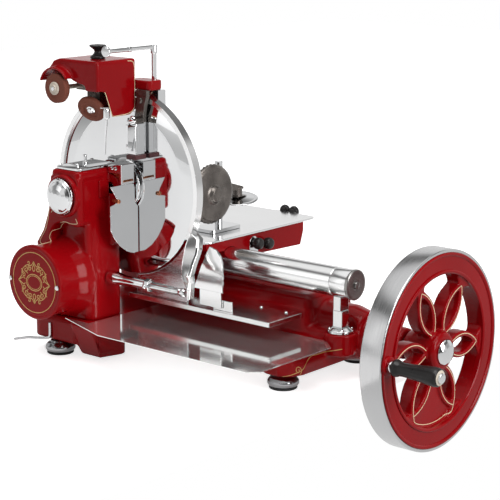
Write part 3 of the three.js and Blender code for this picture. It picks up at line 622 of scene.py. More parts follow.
# A screw's head: a drum with a coned edge, cut by a slot.
def screw_heads():
    tree, given, out = tree_of("screw_heads", Radius=0.003, Height=0.0015, Slot=0.0007)
    radius, height = given["Radius"], given["Height"]
    cone = step(tree, "GeometryNodeMeshCone", ("Vertices", 20), ("Radius Bottom", radius),
                ("Radius Top", times(tree, radius, 0.72)), ("Depth", times(tree, height, 0.5)))
    raised = moved(tree, cone.outputs["Mesh"], Translation=combine(tree, z=times(tree, height, 0.499)))
    head = step(tree, "GeometryNodeMeshBoolean", (1, drum(tree, 20, radius, height)), (1, raised),
                operation="UNION")
    bar = step(tree, "GeometryNodeMeshCube",
               ("Size", combine(tree, times(tree, radius, 3), given["Slot"], height)))
    sunk = moved(tree, bar.outputs["Mesh"], Translation=combine(tree, z=times(tree, height, 1.05)),
                 Rotation=(0, 0, 0.6))
    cut = step(tree, "GeometryNodeMeshBoolean", (0, head.outputs[0]), (1, sunk), operation="DIFFERENCE")
    return spread(tree, given["Points"], cut.outputs[0], aimed(tree, marked(tree, "facing"), "Z"), given, out)


# A roller chain's link: two side plates and a roller between them.
def chain_links():
    tree, given, out = tree_of("chain_links", Pitch=0.0095, Width=0.007, Plate=0.0022)
    pitch, width, thick = given["Pitch"], given["Width"], given["Plate"]
    lying = (math.pi / 2, 0, 0)
    parts = step(tree, "GeometryNodeJoinGeometry")
    for side in (0.38, -0.38):
        flat = moved(tree, drum(tree, 10, 1.0, 1.0), Rotation=lying)
        size = combine(tree, thick, times(tree, width, 0.12), times(tree, pitch, 0.62))
        leaf = moved(tree, flat, Scale=size, Translation=combine(tree, y=times(tree, width, side)))
        tree.links.new(leaf, parts.inputs[0])
    roller = moved(tree, drum(tree, 10, times(tree, thick, 0.7), times(tree, width, 0.8)), Rotation=lying,
                   Translation=combine(tree, z=times(tree, pitch, 0.5)))
    tree.links.new(roller, parts.inputs[0])
    curve = step(tree, "GeometryNodeMeshToCurve", ("Mesh", given["Points"]))
    even = step(tree, "GeometryNodeResampleCurve", ("Curve", curve.outputs[0]), ("Length", pitch),
                mode="LENGTH")
    tangent = step(tree, "GeometryNodeInputTangent").outputs[0]
    both = aimed(tree, tangent, "Z", ("Rotation", aimed(tree, (0, 1, 0), "Y")), pivot_axis="Y")
    return spread(tree, even.outputs[0], parts.outputs[0], both, given, out)


# A tooth, flute or rib: a tapered bar on its point, with its tip along facing.
def ribs_round():
    tree, given, out = tree_of("ribs_round", Height=0.004, Width=0.003, Length=0.02, Taper=0.6, Sides=6)
    bar = step(tree, "GeometryNodeMeshCone", ("Vertices", given["Sides"]), ("Radius Bottom", 0.5),
               ("Radius Top", times(tree, given["Taper"], 0.5)), ("Depth", 1.0))
    size = combine(tree, given["Width"], given["Length"], given["Height"])
    rib = moved(tree, bar.outputs["Mesh"], Scale=size)
    first = aimed(tree, marked(tree, "facing"), "Z")
    both = aimed(tree, marked(tree, "along"), "Y", ("Rotation", first), pivot_axis="Z")
    return spread(tree, given["Points"], rib, both, given, out)


SCREWS = screw_heads()
LINKS = chain_links()
RIBS = ribs_round()


def grown(name, tree, spots, body, slot, closed=False, nodes=(), **sizes):
    bm = bmesh.new()
    facing = bm.verts.layers.float_vector.new("facing")
    along = bm.verts.layers.float_vector.new("along")
    verts = []
    for place, out, line in spots:
        vert = bm.verts.new(at(place))
        vert[facing] = Vector(out).normalized()
        vert[along] = Vector(line).normalized()
        verts.append(vert)
    if closed:
        for ends in pairs(verts, True):
            bm.edges.new(ends)
    seed = placed(name + "_spots", mesh_of(bm, name + "_spots"))
    grow = modify(seed, "NODES", node_group=tree)
    sockets = {s.name: s.identifier for s in tree.interface.items_tree if s.in_out == "INPUT"}
    for key, value in sizes.items():
        grow[sockets[key]] = value
    grow[sockets["Finish"]] = FINISH[slot]
    plain = baked(seed)
    smooth(plain, 30)
    made = piece(name, plain, body, slot)
    if nodes:
        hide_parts(*nodes)


# Even places round an axis, each with the way outwards and the axis.
def ring_spots(centre, axis, radius, count, start=0.0):
    axis, u, v = across(axis)
    ways = [u * math.cos(a) + v * math.sin(a) for a in angles(count, start)]
    return [(Vector(centre) + out * radius, out, axis) for out in ways]


# Screw heads at places, all looking along one way. Radius and height are in millimetres.
def screws(name, places, way, body, radius, height, gap=0.7, slot="chrome", nodes=()):
    grown(name, SCREWS, [(p, way, Y) for p in places], body, slot, nodes=nodes, Radius=radius / 1000,
          Height=height / 1000, Slot=gap / 1000)


def teeth(name, centre, axis, radius, count, length, width, height, body, start=0.0):
    spots = ring_spots(centre, axis, radius - height * 0.3, count, start * TAU / count)
    grown(name, RIBS, spots, body, "steel", Height=height / 1000, Width=width / 1000 * 1.4,
          Length=length / 1000 * 1.4, Taper=0.55, Sides=4)


# Base, feet and column


# The corner of the plinth under the housing is drawn in, and a gold line runs along the right lobe.
def base():
    made = cast("base_casting", 2.4, 7, 0.22)
    left, right, front, low, high = -27, 37, -60, 8, 62
    for vert in made.data.vertices:
        x, y, z = vert.co * 1000 - SHIFT
        if left < x < right and y < front and z < high:
            lift = max(z - low, 0) / (high - low)
            vert.co = at((min(x, 20 + 15 * lift), max(y, -89 - 30 * lift), z))
    cover = leaves_of(made)
    aim = (-0.629, 0.747, -0.218)
    bm = bmesh.new()
    edge = [
        (336, 20), (347.9, 23.4), (359.9, 28), (377, 36.5), (387.4, 52.4), (395.2, 60.4), (406.9, 64.2),
        (430.1, 71.9), (460.5, 80.9)]
    painted(bm, cover, [(x, 0, z) for x, z in edge], aim, 1.1, reach=300)
    curl = swirl((368.5, 35), 7.5, 1.5, -60, 420)
    painted(bm, cover, [(x, 0, z) for x, z in curl], aim, 1.0, reach=300, gap=1)
    done(bm, "base_line_work", FRAME, None, GOLD)


def feet():
    cup = [(0, 5.5), (23.5, 5.5), (25.7, 9), (25.2, 14), (21.5, 18.5), (17.5, 20.5), (16, 23.4), (0, 23.6)]
    sole = [(0, 0.1), (21, 0.1), (22.8, 1.2), (22.8, 3), (22, 3.4), (22, 4.8), (0, 4.8)]
    for name, (x, y) in FEET.items():
        turned("foot_" + name, ((x, y, 0), Z, cup, 56, 0.8), material=DARK, limit=32)
        turned("sole_" + name, ((x, y, 0), Z, sole, 48, 0.8), limit=32)


def column():
    cover = leaves_of(cast("drive_column", 1.7, 5, 0.24))
    front = [
        (-8.8, 242.8), (-6.6, 239.3), (-5.5, 235.3), (-14.5, 233.7), (-22.7, 233.5), (-33.3, 234.9),
        (-42.4, 233.1), (-52.5, 229.7), (-61.1, 223.5), (-67.9, 215), (-71.8, 207.6), (-72, 201.7),
        (-68.1, 195.4), (-70.7, 189.9), (-75.7, 184.1)]
    left = [
        (-66.9, 246.5), (-64.2, 249.4), (-63.6, 253.4), (-67.9, 253.8), (-71.1, 250.5), (-72.8, 243.2),
        (-74.3, 236.3), (-77.3, 226.5), (-80.5, 217.6), (-84.9, 210.2), (-91.3, 201.6), (-95.2, 195.1),
        (-93.6, 191), (-86.4, 188.6), (-76.7, 185.8), (-70.7, 184.1)]
    bm = bmesh.new()
    for line in (front, left):
        painted(bm, cover, [(x, COL_FRONT, z) for x, z in line], Y, 1.1)
    done(bm, "column_line_work", FRAME, None, CREAM)
    bm = bmesh.new()
    plate(bm, "x", [(-64, 272), (-42.3, 272), (-42.3, 301), (-64, 301)], -5, -0.6)
    done(bm, "column_side_cover", FRAME, "enamel", edge=1.6, segments=3)
    housing_cover()
    dial()
    cap_plate()


def housing_cover():
    x, z = DRUM
    lid = [
        (0, -150.4), (62.6, -150.4), (62.6, -156), (60.5, -157.6), (57.6, -157.9), (56.2, -157.3),
        (54.8, -157.9), (0, COVER_Y)]
    turned("housing_cover", ((x, 0, z), Y, lid, 96, 0.7), limit=30)
    places = [(x + side, COVER_Y - 1.2, z) for side in (-56, 56)]
    screws("cover_screw_heads", places, -Y, FRAME, 4.2, 2.2, 0.9,
           nodes=["cover_screw_left", "cover_screw_right"])
    ornament()


# Gold scroll work on the round cover: one quarter is drawn and mirrored, round an empty oval.
def ornament():
    x, z = DRUM
    front = COVER_Y - 12
    corners = [at((x + a, COVER_Y, z + b)) for a, b in ((-70, -70), (70, -70), (70, 70), (-70, 70))]
    flat = BVHTree.FromPolygons(corners, [(0, 1, 2, 3)])
    quarter = [
        [(38, 0), (33, 4), (29, 9.5)] + swirl((24.5, 10.5), 4.6, 1.2, -20, 480),
        [(38, 0), (34, 1.5), (27.5, 5), (24, 5.6), (21.6, 3.2)],
        [(0, 36), (3, 31), (7.5, 27.5)] + swirl((9.6, 23.2), 4.8, 1.2, 100, -400),
        [(0, 36), (0.6, 30), (2.8, 25.5), (2.4, 21.2), (0, 19)],
        [(29, 9.5), (28.6, 16), (24.4, 22.4), (18, 27), (11.5, 29)] + swirl((12.4, 32), 3, 1, 230, -60, 8),
        [(24.4, 22.4)] + swirl((19.4, 19.6), 5.4, 1.4, 30, 460),
        [(14.5, 13.6), (17, 15.4), (17.6, 18.4)],
        [(30.5, 19), (27.4, 18.2), (26.4, 14.6)],
    ]
    bm = bmesh.new()
    for a, b in ((1, 1), (1, -1), (-1, 1), (-1, -1)):
        for line in quarter:
            painted(bm, flat, [(x + a * p, front, z + b * q) for p, q in line], Y, 1.15, gap=1.0)
    for wide, tall, width, count in ((18.5, 13.8, 1.2, 32), (15.6, 11.2, 0.7, 32), (50.5, 50.5, 1.0, 72)):
        oval = [(x + wide * math.cos(t), front, z + tall * math.sin(t)) for t in angles(count)]
        painted(bm, flat, oval, Y, width, closed=True)
    done(bm, "cover_scroll_work", FRAME, None, GOLD)


def dial():
    x, z = DIAL
    seat = [(30.3, -109), (30.3, -117.6), (31.4, -118.8), (33.6, -118.6), (35.2, -116.6), (36, -109)]
    spun("dial_seat_ring", FRAME, "enamel", ((x, 0, z), Y, seat, 96, 0.6, True))
    dome = [
        (0, -88), (5, -88), (5, -116.4), (27.5, -116.4), (29.4, -118), (29.4, -122.4), (27.6, -124.4),
        (25.6, -124), (24.4, -125.8), (20, -128.4), (13, -130.8), (6, -131.8), (0, -132)]
    turned("thickness_knob", ((x, 0, z), Y, dome, 96, 0.5), limit=28)
    grown("dial_grip_ribs", RIBS, ring_spots((x, -120.2, z), Y, 28.9, 40), "thickness_dial", "chrome",
          Height=0.0012, Width=0.0026, Length=0.0044, Taper=0.55, Sides=8)


def cap_plate():
    dressed("column_cap_plate", 0.8)
    top = COL_TOP + 5
    places = [(x, y, top + 0.6) for y in (-99, -27) for x in (-56, -14)]
    screws("cap_plate_screws", places, Z, FRAME, 3.6, 2, 0.8)
    stud = [(0, 0), (4.4, 0), (4.4, 3), (2.6, 4), (2.6, 12), (3.4, 13), (3.2, 15), (0, 15.6)]
    button = [(0, 0), (3.2, 0), (3.2, 2.6), (2.4, 3.6), (0, 3.8)]
    spun("cap_plate_stud", FRAME, "chrome", ((-38, -60, top), Z, stud, 24, 0.4),
         ((-30, -86, top), Z, button, 20, 0.3))


# Blade, guard, bar and deflector


def blade():
    centre = (0, 0, BLADE_Z)
    disc = [
        (0, 0.9), (40, 0.9), (44, 1.1), (118, 2.9), (126, 2.7), (149.6, 0.55), (149.9, 0.3), (149.6, 0.05),
        (127, -2.8), (125, -2.9), (46, -2.95), (43, -3.2), (41, -3.9), (0, -3.9)]
    turned("blade", (centre, Y, disc, 160, 0.5), limit=32)
    hub = [
        (8.6, -4.5), (35.6, -4.5), (35.8, -7.4), (33, -8.4), (22, -10.6), (19.6, -10.8), (9.4, -10.8),
        (8.6, -10)]
    turned("blade_hub", (centre, Y, hub, 72, 0.5, True), limit=28)
    bolts = [p for p, _, _ in ring_spots((0, -9.3, BLADE_Z), Y, 27.5, 4, TAU / 8)]
    screws("hub_screws", bolts, -Y, "blade_set", 3.4, 1.5, 0.9, "steel")
    shaft = [(0, -37), (7, -37), (8, -36), (8, -34), (11, -34), (11, -26), (8, -26), (8, -5), (0, -4.6)]
    turned("blade_shaft", (centre, Y, shaft, 40, 0.4))
    teeth("upper_sprocket_teeth", (0, CHAIN_Y, BLADE_Z), Y, 10.8, 9, 4.5, 2.6, 1.6, "blade_set")


def guards():
    dressed("ring_guard", 2.6, 40, 4, SATIN)
    dressed("guard_strut", 2.2, 28, 4, SATIN)
    dressed("lower_guard", 0.8)
    start = (0, *BAR)
    socket = [
        (0, 4.6), (9, 4.6), (11.4, 7), (12, 11), (12, 20), (11, 26), (9.4, 34), (8.4, 42), (8.2, 90), (0, 90)]
    nut = [(0, 90), (10.6, 90), (11, 92), (11, 100), (10.4, 101), (0, 101)]
    tip = [
        (0, 101), (7.8, 101), (7.2, 120), (6.6, 150), (5.6, 164), (7.2, 168), (7.4, 173), (5.8, 177.4),
        (0, 177.8)]
    turned("guard_bar", (start, X, socket, 48, 1.6), (start, X, nut, 8, 0.6), (start, X, tip, 40, 1.6),
           limit=32)
    button = [(0, 0), (3.6, 0), (3.6, 2), (2.6, 3), (0, 3.2)]
    spun("bar_clamp_button", FRAME, "chrome", ((96, BAR[0] - 11, BAR[1]), -Y, button, 20, 0.3))


def deflector():
    dressed("slice_deflector", 0.35, segments=2)
    dressed("deflector_bracket", 1.2)
    screws("bracket_screws", [(16, -44.6, COL_TOP), (8, -44.6, COL_TOP)], -Y, FRAME, 2.8, 1.6)
    place = (27, -52, 268)
    head = [(0, 1.7), (3.6, 1.7), (3.6, 5), (2.4, 6), (0, 6.2)]
    tail = [(0, 0.1), (3.0, 0.1), (3.0, 9), (2.4, 10), (0, 10.2)]
    spun("deflector_pin", FRAME, None, (place, X, head, 20, 0.3), (place, -X, tail, 20, 0.3), material=BRONZE)
    bm = bmesh.new()
    outline = [polar((0, BLADE_Z), r, math.radians(a))
               for r, sweep in ((34, range(22, 90, 6)), (25, range(88, 20, -6))) for a in sweep]
    plate(bm, "y", outline, -40, -17)
    done(bm, "hub_collar", FRAME, None, BRONZE, edge=0.6)


# Flywheel and crank


# The painted line runs along the middle of each of the six crossing rings of bars, from one crossing
# to the next, and closes the filled fan along its foot.
def bar_lines(bm, cover):
    front = WHEEL_FACE + 20
    near, crossing, foot_end = 21, 105.5, 116
    for k in range(6):
        b = math.radians(60 * k + ROSE_TURN)
        middle = polar(WHEEL, ROSE_CENTRE, b)
        far = foot_end if k == FAN_RING else crossing
        for side in (1, -1):
            sweep = [b + math.pi + side * math.radians(near + (far - near) * i / 24) for i in range(25)]
            painted(bm, cover, [(front, *polar(middle, ROSE_LINE, a)) for a in sweep], -X, 1.25)
    sweep = [math.radians(240 + 52 * i / 30) for i in range(31)]
    painted(bm, cover, [(front, *polar(WHEEL, FAN_FOOT, a)) for a in sweep], -X, 1.25)


def flywheel():
    centre = (WHEEL_FACE, *WHEEL)
    tyre = [(156.2, -0.4), (160, -0.1), (160.9, -1.2), (160.9, -37.8), (160, -38.9), (156.2, -38.7)]
    turned("flywheel_rim", (centre, X, tyre, 200, 0.6, True), material=RIM, limit=30)
    cover = leaves_of(cast("flywheel_spider", 1.7, 4, 0.25))
    bm = bmesh.new()
    bar_lines(bm, cover)
    done(bm, "flywheel_line_work", "flywheel", None, CREAM)
    inner = [(122.4, -8), (128.6, -8), (128.6, 0.8), (127, 1.8), (124.4, 1.6), (122.6, 0)]
    outer = [(149.6, -6), (155.8, -6), (155.8, 0.9), (154.4, 1.7), (151.4, 1.4), (149.6, -0.4)]
    boss = [(5.3, -12), (15.6, -12), (15.4, 2.6), (14, 4.4), (11, 5), (5.3, 5)]
    spun("flywheel_lips", "flywheel", "enamel", (centre, X, inner, 160, 0.6, True),
         (centre, X, outer, 160, 0.6, True), ((WHEEL_FACE, *CRANK), X, boss, 64, 0.8, True))
    dome = [
        (0, 7.4), (20.6, 7.4), (20.8, 9.6), (19.6, 11.8), (16.4, 14.6), (11, 16.8), (5, 17.7), (0, 17.9)]
    turned("flywheel_cap", (centre, X, dome, 64, 0.6), limit=32)
    shaft = [
        (0, -91), (9, -91), (11, -89), (11, -73), (20, -73), (22, -72), (22, -68), (31.6, -67), (31.6, -57),
        (22, -56), (22, -53), (20, -51), (11, -51), (11, 525), (0, 525.5)]
    turned("main_shaft", ((0, *WHEEL), X, shaft, 48, 0.5))
    teeth("shaft_gear_teeth", (DRUM[0], *WHEEL), X, 31.4, 30, 9, 4.2, 3.4, "flywheel")
    crank()


def crank():
    centre = (WHEEL_FACE, *CRANK)
    pin = [
        (0, -17), (4.9, -17), (4.9, 5.2), (8.8, 5.2), (9, 6), (9, 8.4), (8, 9.6), (5, 10.8), (4.9, 12),
        (4.9, 94.4), (7.8, 94.4), (8, 95.4), (7.6, 97.8), (5, 98.6), (0, 98.8)]
    turned("crank_pin", (centre, X, pin, 48, 0.4), material=FINISH["chrome"], limit=30)
    grip = [
        (5.6, 11.7), (11, 11.7), (13.2, 13.5), (13.8, 16.5), (12.8, 19.5), (11, 24.5), (10.7, 31),
        (11.3, 43), (12.6, 59), (14, 72), (14.9, 82), (14.8, 88), (13.4, 92.2), (10.4, 93.3), (5.6, 93.4)]
    turned("crank_grip", (centre, X, grip, 56, 1.5, True), limit=40)
    disc = [(5.7, 93.3), (11.6, 93.3), (11.6, 94), (8.6, 94.2), (5.7, 94.2)]
    spun("grip_end_disc", "crank_handle", "chrome", (centre, X, disc, 40, 0.2, True), material=PALE)


# Gears and chain inside


def drive():
    x, z = DRUM
    shaft = [
        (0, -135.6), (7, -135.6), (8, -134.6), (8, -34), (16, -33.8), (40.6, -33.8), (40.6, -26.2),
        (16, -26.2), (8, -26), (8, 130), (20, 130.2), (22, 131), (32.6, 134), (32.6, 146), (22, 149),
        (20, 149.8), (8, 150), (8, 157), (7, 157.8), (0, 157.8)]
    turned("cross_shaft", ((x, 0, z), Y, shaft, 56, 0.4))
    teeth("cross_gear_teeth", (x, WHEEL[0], z), Y, 32.4, 30, 9, 4.2, 2.6, "cross_drive", 0.5)
    teeth("lower_sprocket_teeth", (x, CHAIN_Y, z), Y, 40.8, 30, 4.5, 3, 2, "cross_drive")
    grown("drive_chain_links", LINKS, [(p, Z, Y) for p in chain_path()], FRAME, "dark_steel", True,
          ["drive_chain"], Pitch=0.0095, Width=0.0076, Plate=0.0016)


# The chain's middle line: an arc round each sprocket and two straight runs.
def chain_path():
    x, z = DRUM
    low_r, high_r = 44, 14
    lean = math.atan2(BLADE_Z - z, -x)
    wrap = math.acos((low_r - high_r) / math.hypot(x, BLADE_Z - z))
    low = [polar(DRUM, low_r, lean + wrap + (TAU - 2 * wrap) * i / 28) for i in range(29)]
    high = [polar((0, BLADE_Z), high_r, lean - wrap + 2 * wrap * i / 12) for i in range(13)]
    return [(x, CHAIN_Y, z) for x, z in low + high]


# Guide tube, bed and tray


def tube():
    end = (TUBE_X1, *TUBE)
    pipe = [
        (0, -15), (22, -15), (23.9, -13), (23.9, 376), (23.4, 376.5), (23.4, 377.5), (23.9, 378),
        (23.9, 407.6), (0, 407.8)]
    turned("guide_tube", ((0, *TUBE), X, pipe, 96, 0.3), material=SATIN, limit=30)
    cap = [
        (0, 0.4), (24.6, 0.4), (24.9, 1), (24.9, 4.4), (23.6, 5.6), (20, 5.9), (9, 5.6), (7.6, 5), (0, 5)]
    bolt = [(0, 5), (5.6, 5), (5.8, 6), (5.4, 8.4), (0, 8.9)]
    turned("tube_end_cap", (end, X, cap, 80, 0.4), (end, X, bolt, 32, 0.4), material=CAP, limit=30)
    dressed("tube_post", 0.9, 30)
    places = [p for p, _, _ in ring_spots((384, TUBE[0], 87.6), Z, 17.6, 4, TAU / 8)]
    screws("post_flange_screws", places, Z, FRAME, 2.8, 1.8)


def bed():
    dressed("slide_bed", 0.8, material=SATIN)
    screws("bed_screws", [(x, 64, 102.4) for x in (40, 140, 240, 292)], Z, FRAME, 3, 1.6)
    dressed("gauge_plate", 0.8, material=SATIN)
    dressed("receiving_tray", 0.4, 35, 2, TRAY)


# Carriage, table and holder


def knob(node, origin, axis, far):
    head = [
        (0, 0.1), (5.4, 0.1), (5.6, 3.4), (8.6, 4.6), (9.4, 6.4), (9.4, far - 4), (8.6, far - 1.6),
        (6, far - 0.4), (0, far - 0.2)]
    turned(node, (origin, axis, head, 40, 0.6), limit=32)
    spots = ring_spots(Vector(origin) + axis * (far / 2 + 2), axis, 9.1, 18)
    grown(node + "_ribs", RIBS, spots, BODY_OF[node], SLOT_OF[node], Height=0.0009, Width=0.002,
          Length=(far - 8) / 1000, Taper=0.5, Sides=8)


def carriage():
    dressed("carriage", 1.6, 30)
    dressed("meat_table", 0.45, 35, 2, SATIN)
    knob("side_knob_front", (152.3, 148, 184), X, 18)
    knob("side_knob_rear", (152.3, 175, 180), X, 18)
    knob("stop_knob_left", (74, 320.3, 203.3), Y, 15)
    knob("stop_knob_right", (94.5, 320.3, 203.3), Y, 15)
    bm = bmesh.new()
    tab = [(136, 160), (158, 160), (158, 186), (155, 192), (150, 195.5), (144, 195.5), (139, 192), (136, 186)]
    plate(bm, "x", tab, 152.1, 154)
    turn(bm, (0, 147, 166), X, [(0, 153.9), (3, 153.9), (3, 155), (2.2, 155.8), (0, 156)], 20, 0.3)
    done(bm, "carriage_tab", "carriage_body", "chrome", edge=0.4)


def holder():
    y, z = HOLDER_WHEEL
    dressed("holder_post", 0.8)
    dressed("holder_arm", 1.4, 30)
    dish = [
        (0, 0.1), (33, 0.1), (35.6, 0.6), (36.9, 1.6), (36.4, 2.6), (34, 3), (30, 2.9), (11, 4.3), (8, 4.4),
        (0, 4.4)]
    turned("holder_plate", ((86, 182, 246), (0.1, -0.12, 0.99), dish, 96, 0.5), limit=32)
    wheel = [
        (0, 96.4), (11.6, 96.4), (12, 98), (12, 107), (15, 108.6), (40, 109.8), (46.5, 111.4), (49.6, 114.6),
        (49.8, 118), (48.6, 121.4), (44, 123.8), (18, 124), (14, 126), (12, 130), (10.6, 131.6), (0, 132)]
    turned("holder_wheel", ((0, y, z), X, wheel, 96, 1.2))
    spots = ring_spots((116.4, y, z), X, 49.2, 36)
    grown("holder_wheel_flutes", RIBS, spots, "holder_handwheel", "dark_steel", Height=0.0012, Width=0.0044,
          Length=0.0086, Taper=0.5, Sides=10)
    bm = bmesh.new()
    plate(bm, "x", [(138, 262), (160, 268.5), (158, 272), (142, 281)], 97.5, 98.8)
    plate(bm, "z", [(80, 168), (97, 170), (96, 196), (84, 196)], 251.6, 252.6)
    done(bm, "holder_arm_rib", "holder", "dark_steel", edge=0.3)


# Sharpener


def sharpener():
    cover = leaves_of(cast("sharpener_hood", 1.6, 26, 0.3))
    border = [
        (-90, 449.6), (-77.5, 449.6), (-74.6, 443), (-65.4, 412.6), (-61.5, 409.8), (-50.5, 409.6),
        (-32, 410.4), (-20.3, 412.6), (-12.6, 418.4), (-10.4, 426.4), (-10.4, 444.6), (-10.4, 472.5),
        (-11.6, 489.3), (-16.2, 495.4), (-26, 496.6)]
    bm = bmesh.new()
    painted(bm, cover, [(60, y, z) for y, z in border], -X, 1.2)
    done(bm, "hood_line_work", "sharpener", None, CREAM)
    pull = [
        (0, 500.4), (11.6, 500.4), (12.8, 502), (12, 504.6), (8.4, 507), (6, 510), (5.6, 512.6), (7.4, 515.6),
        (11.4, 518.4), (13.8, 520.4), (13.8, 521.8), (12.4, 522.8), (5, 522.9), (4, 522.2), (0, 522.2)]
    turned("hood_knob", ((-6, -58, 0), Z, pull, 56, 0.9), limit=32)
    upper_stone()
    lower_stone()
    stone_rest()
    wiper()
    arm()


def upper_stone():
    stone = [(7.1, 0.2), (23, 0.2), (24.3, 1.6), (24.3, 10.6), (23.2, 11.8), (7.1, 11.8)]
    turned("upper_stone", (STONE, Y, stone, 80, 0.5, True))
    spindle = [
        (0, 86.8), (3.9, 86.8), (3.9, 21.6), (6.5, 21), (6.5, 0), (10.8, -0.3), (10.9, -1.4), (9.4, -2.8),
        (6.4, -3.2), (6, -4.6), (0, -4.9)]
    turned("stone_spindle", (STONE, Y, spindle, 48, 0.3), material=PALE)
    end = [(0, 4.7), (3.4, 4.7), (3.4, 4.9), (2, 5), (0, 5)]
    spun("spindle_end", "grinding_wheel", "chrome", (STONE, -Y, end, 24, 0.1))


def lower_stone():
    stone = [
        (0, -3.9), (22.4, -3.9), (23.6, -2.4), (23.9, 3), (22.6, 4.4), (16, 5.8), (13.6, 4.8), (12.4, 3),
        (0, 3)]
    turned("lower_stone", (LOW_STONE, LOW_STONE_AXIS, stone, 72, 0.6))
    bolt = [(0, 2.9), (7.4, 2.9), (7.4, 4.2), (5.2, 5.2), (4.4, 7), (2.6, 7.6), (0, 7.7)]
    spun("lower_stone_bolt", "honing_wheel", "chrome", (LOW_STONE, LOW_STONE_AXIS, bolt, 32, 0.4))


# The frame that carries the stones, with the thin rod that hangs from it.
def stone_rest():
    dressed("stone_frame", 1.4)
    bm = bmesh.new()
    plate(bm, "z", [(-28, -62), (-14, -74), (18, -74), (26, -66), (26, -46), (-28, -46)], 422.4, 424)
    rod = [(20, -66, 424), (20, -66, 410), (19, -66, 396), (14, -64, 372), (11, -62, 345)]
    wire(bm, rod, lambda t: 2.6 - 0.9 * t)
    collar = [(0, 405), (4.6, 405), (5.6, 407), (5.6, 421), (4.6, 422.4), (0, 422.4)]
    turn(bm, (20, -66, 0), Z, collar, 28, 0.4)
    done(bm, "stone_rest", "sharpener", "chrome", edge=0.3)


def wiper():
    dressed("wiper_holder", 1.4)
    dressed("wiper_felt", 1.6)
    bm = bmesh.new()
    for y in (-26.5, -21.5):
        plate(bm, "x", [(y - 1.6, 349), (y + 1.6, 349), (y + 1.6, 392), (y - 1.6, 392)], 48.6, 49.6)
    plate(bm, "y", [(26, 352), (31.4, 352), (31.4, 392), (26, 392)], -29, -20)
    turn(bm, (28.6, 0, 358), -Y, [(0, 28.6), (2, 28.6), (2, 30.2), (1.2, 30.8), (0, 30.9)], 20, 0.2)
    stem = [(0, 396), (9, 396), (10, 397), (10, 400), (6, 402), (5, 406), (2, 408), (0, 408)]
    turn(bm, (40, -26, 0), Z, stem, 28, 0.5)
    done(bm, "wiper_guides", "sharpener", "chrome", edge=0.3)


# The arm over the blade is enamelled on top, behind the ring, and dark steel where it hangs in front.
def arm():
    body = "sharpener"
    bm = bmesh.new()
    outline = [(8, 2), (12, -6.6), (50, -6.6), (56, -5), (60, 0), (60, 20), (54, 28), (14, 28), (8, 22)]
    plate(bm, "z", outline, 448, 464)
    done(bm, "arm_top", body, "enamel", edge=3, segments=4)
    bm = bmesh.new()
    outline = [
        (33, 449), (59, 449), (59, 440), (54, 424), (51, 406), (51, 396.3), (31, 396.3), (31, 408), (36, 428)]
    plate(bm, "y", outline, -13, -5.4)
    plate(bm, "z", [(31, -30), (51, -30), (51, -12), (31, -12)], 396.3, 404)
    turn(bm, (44, 0, 432), -Y, [(0, 12.8), (5, 12.8), (5, 14.6), (3.6, 15.6), (0, 15.8)], 24, 0.4)
    done(bm, "arm_bracket", body, None, FINISH["dark_steel"], ["sharpener_arm"], 1.2, segments=3)
    dressed("arm_seat", 1.2, material=FINISH["chrome"])
    post = [
        (0, 402.4), (4.4, 402.4), (4.4, 506), (5.6, 506.6), (5.8, 508), (5.8, 519), (5.2, 520.6), (0, 520.8)]
    rod = [
        (0, -91.8), (8.4, -91.8), (8.8, -91), (8.8, -88.6), (8.2, -88), (3.5, -87.8), (3.5, -40),
        (4.4, -39.6), (4.4, -34), (3.5, -33.6), (3.5, 15), (0, 20)]
    turned("lift_handle", ((45, 20, 0), Z, post, 40, 0.4), ((45, 0, 517), Y, rod, 40, 0.3), limit=30)


def lever():
    bend = [
        (-82, 54), (-82, 44), (-82, 34), (-83.5, 29.5), (-88, 27), (-100, 24), (-120, 21), (-138, 18.2),
        (-155, 13.6), (-171.5, 9.2)]
    bm = bmesh.new()
    wire(bm, [(x, LEVER_Y, z) for x, z in bend], 2.3, 20, 2)
    done(bm, "release_lever_skin", "lever", "steel", nodes=["release_lever"], limit=60)


base()
feet()
column()
blade()
guards()
deflector()
flywheel()
drive()
tube()
bed()
carriage()
holder()
sharpener()
lever()


# Room, lamps and camera


# The white ground that the machine stands on. It ends in front of the flywheel, which hangs lower.
def stand():
    edge, seen, mirrored = 0.535, 0.75, 0.3
    bm = bmesh.new()
    bm.faces.new([bm.verts.new(c) for c in ((-4, -4, 0), (edge, -4, 0), (edge, 6, 0), (-4, 6, 0))])
    made = placed("stand", mesh_of(bm, "stand"))
    material, surface = shader("stand_white", (0.82, 0.82, 0.82), 0.0, 0.9, Specular_IOR_Level=0.0)
    tree = material.node_tree
    path = step(tree, "ShaderNodeLightPath").outputs
    glossy = times(tree, path["Is Glossy Ray"], mirrored)
    glow = maths(tree, "MULTIPLY_ADD", path["Is Camera Ray"], seen, glossy)
    surface.inputs["Emission Color"].default_value = (1, 1, 1, 1)
    tree.links.new(glow, surface.inputs["Emission Strength"])
    made.data.materials.append(material)


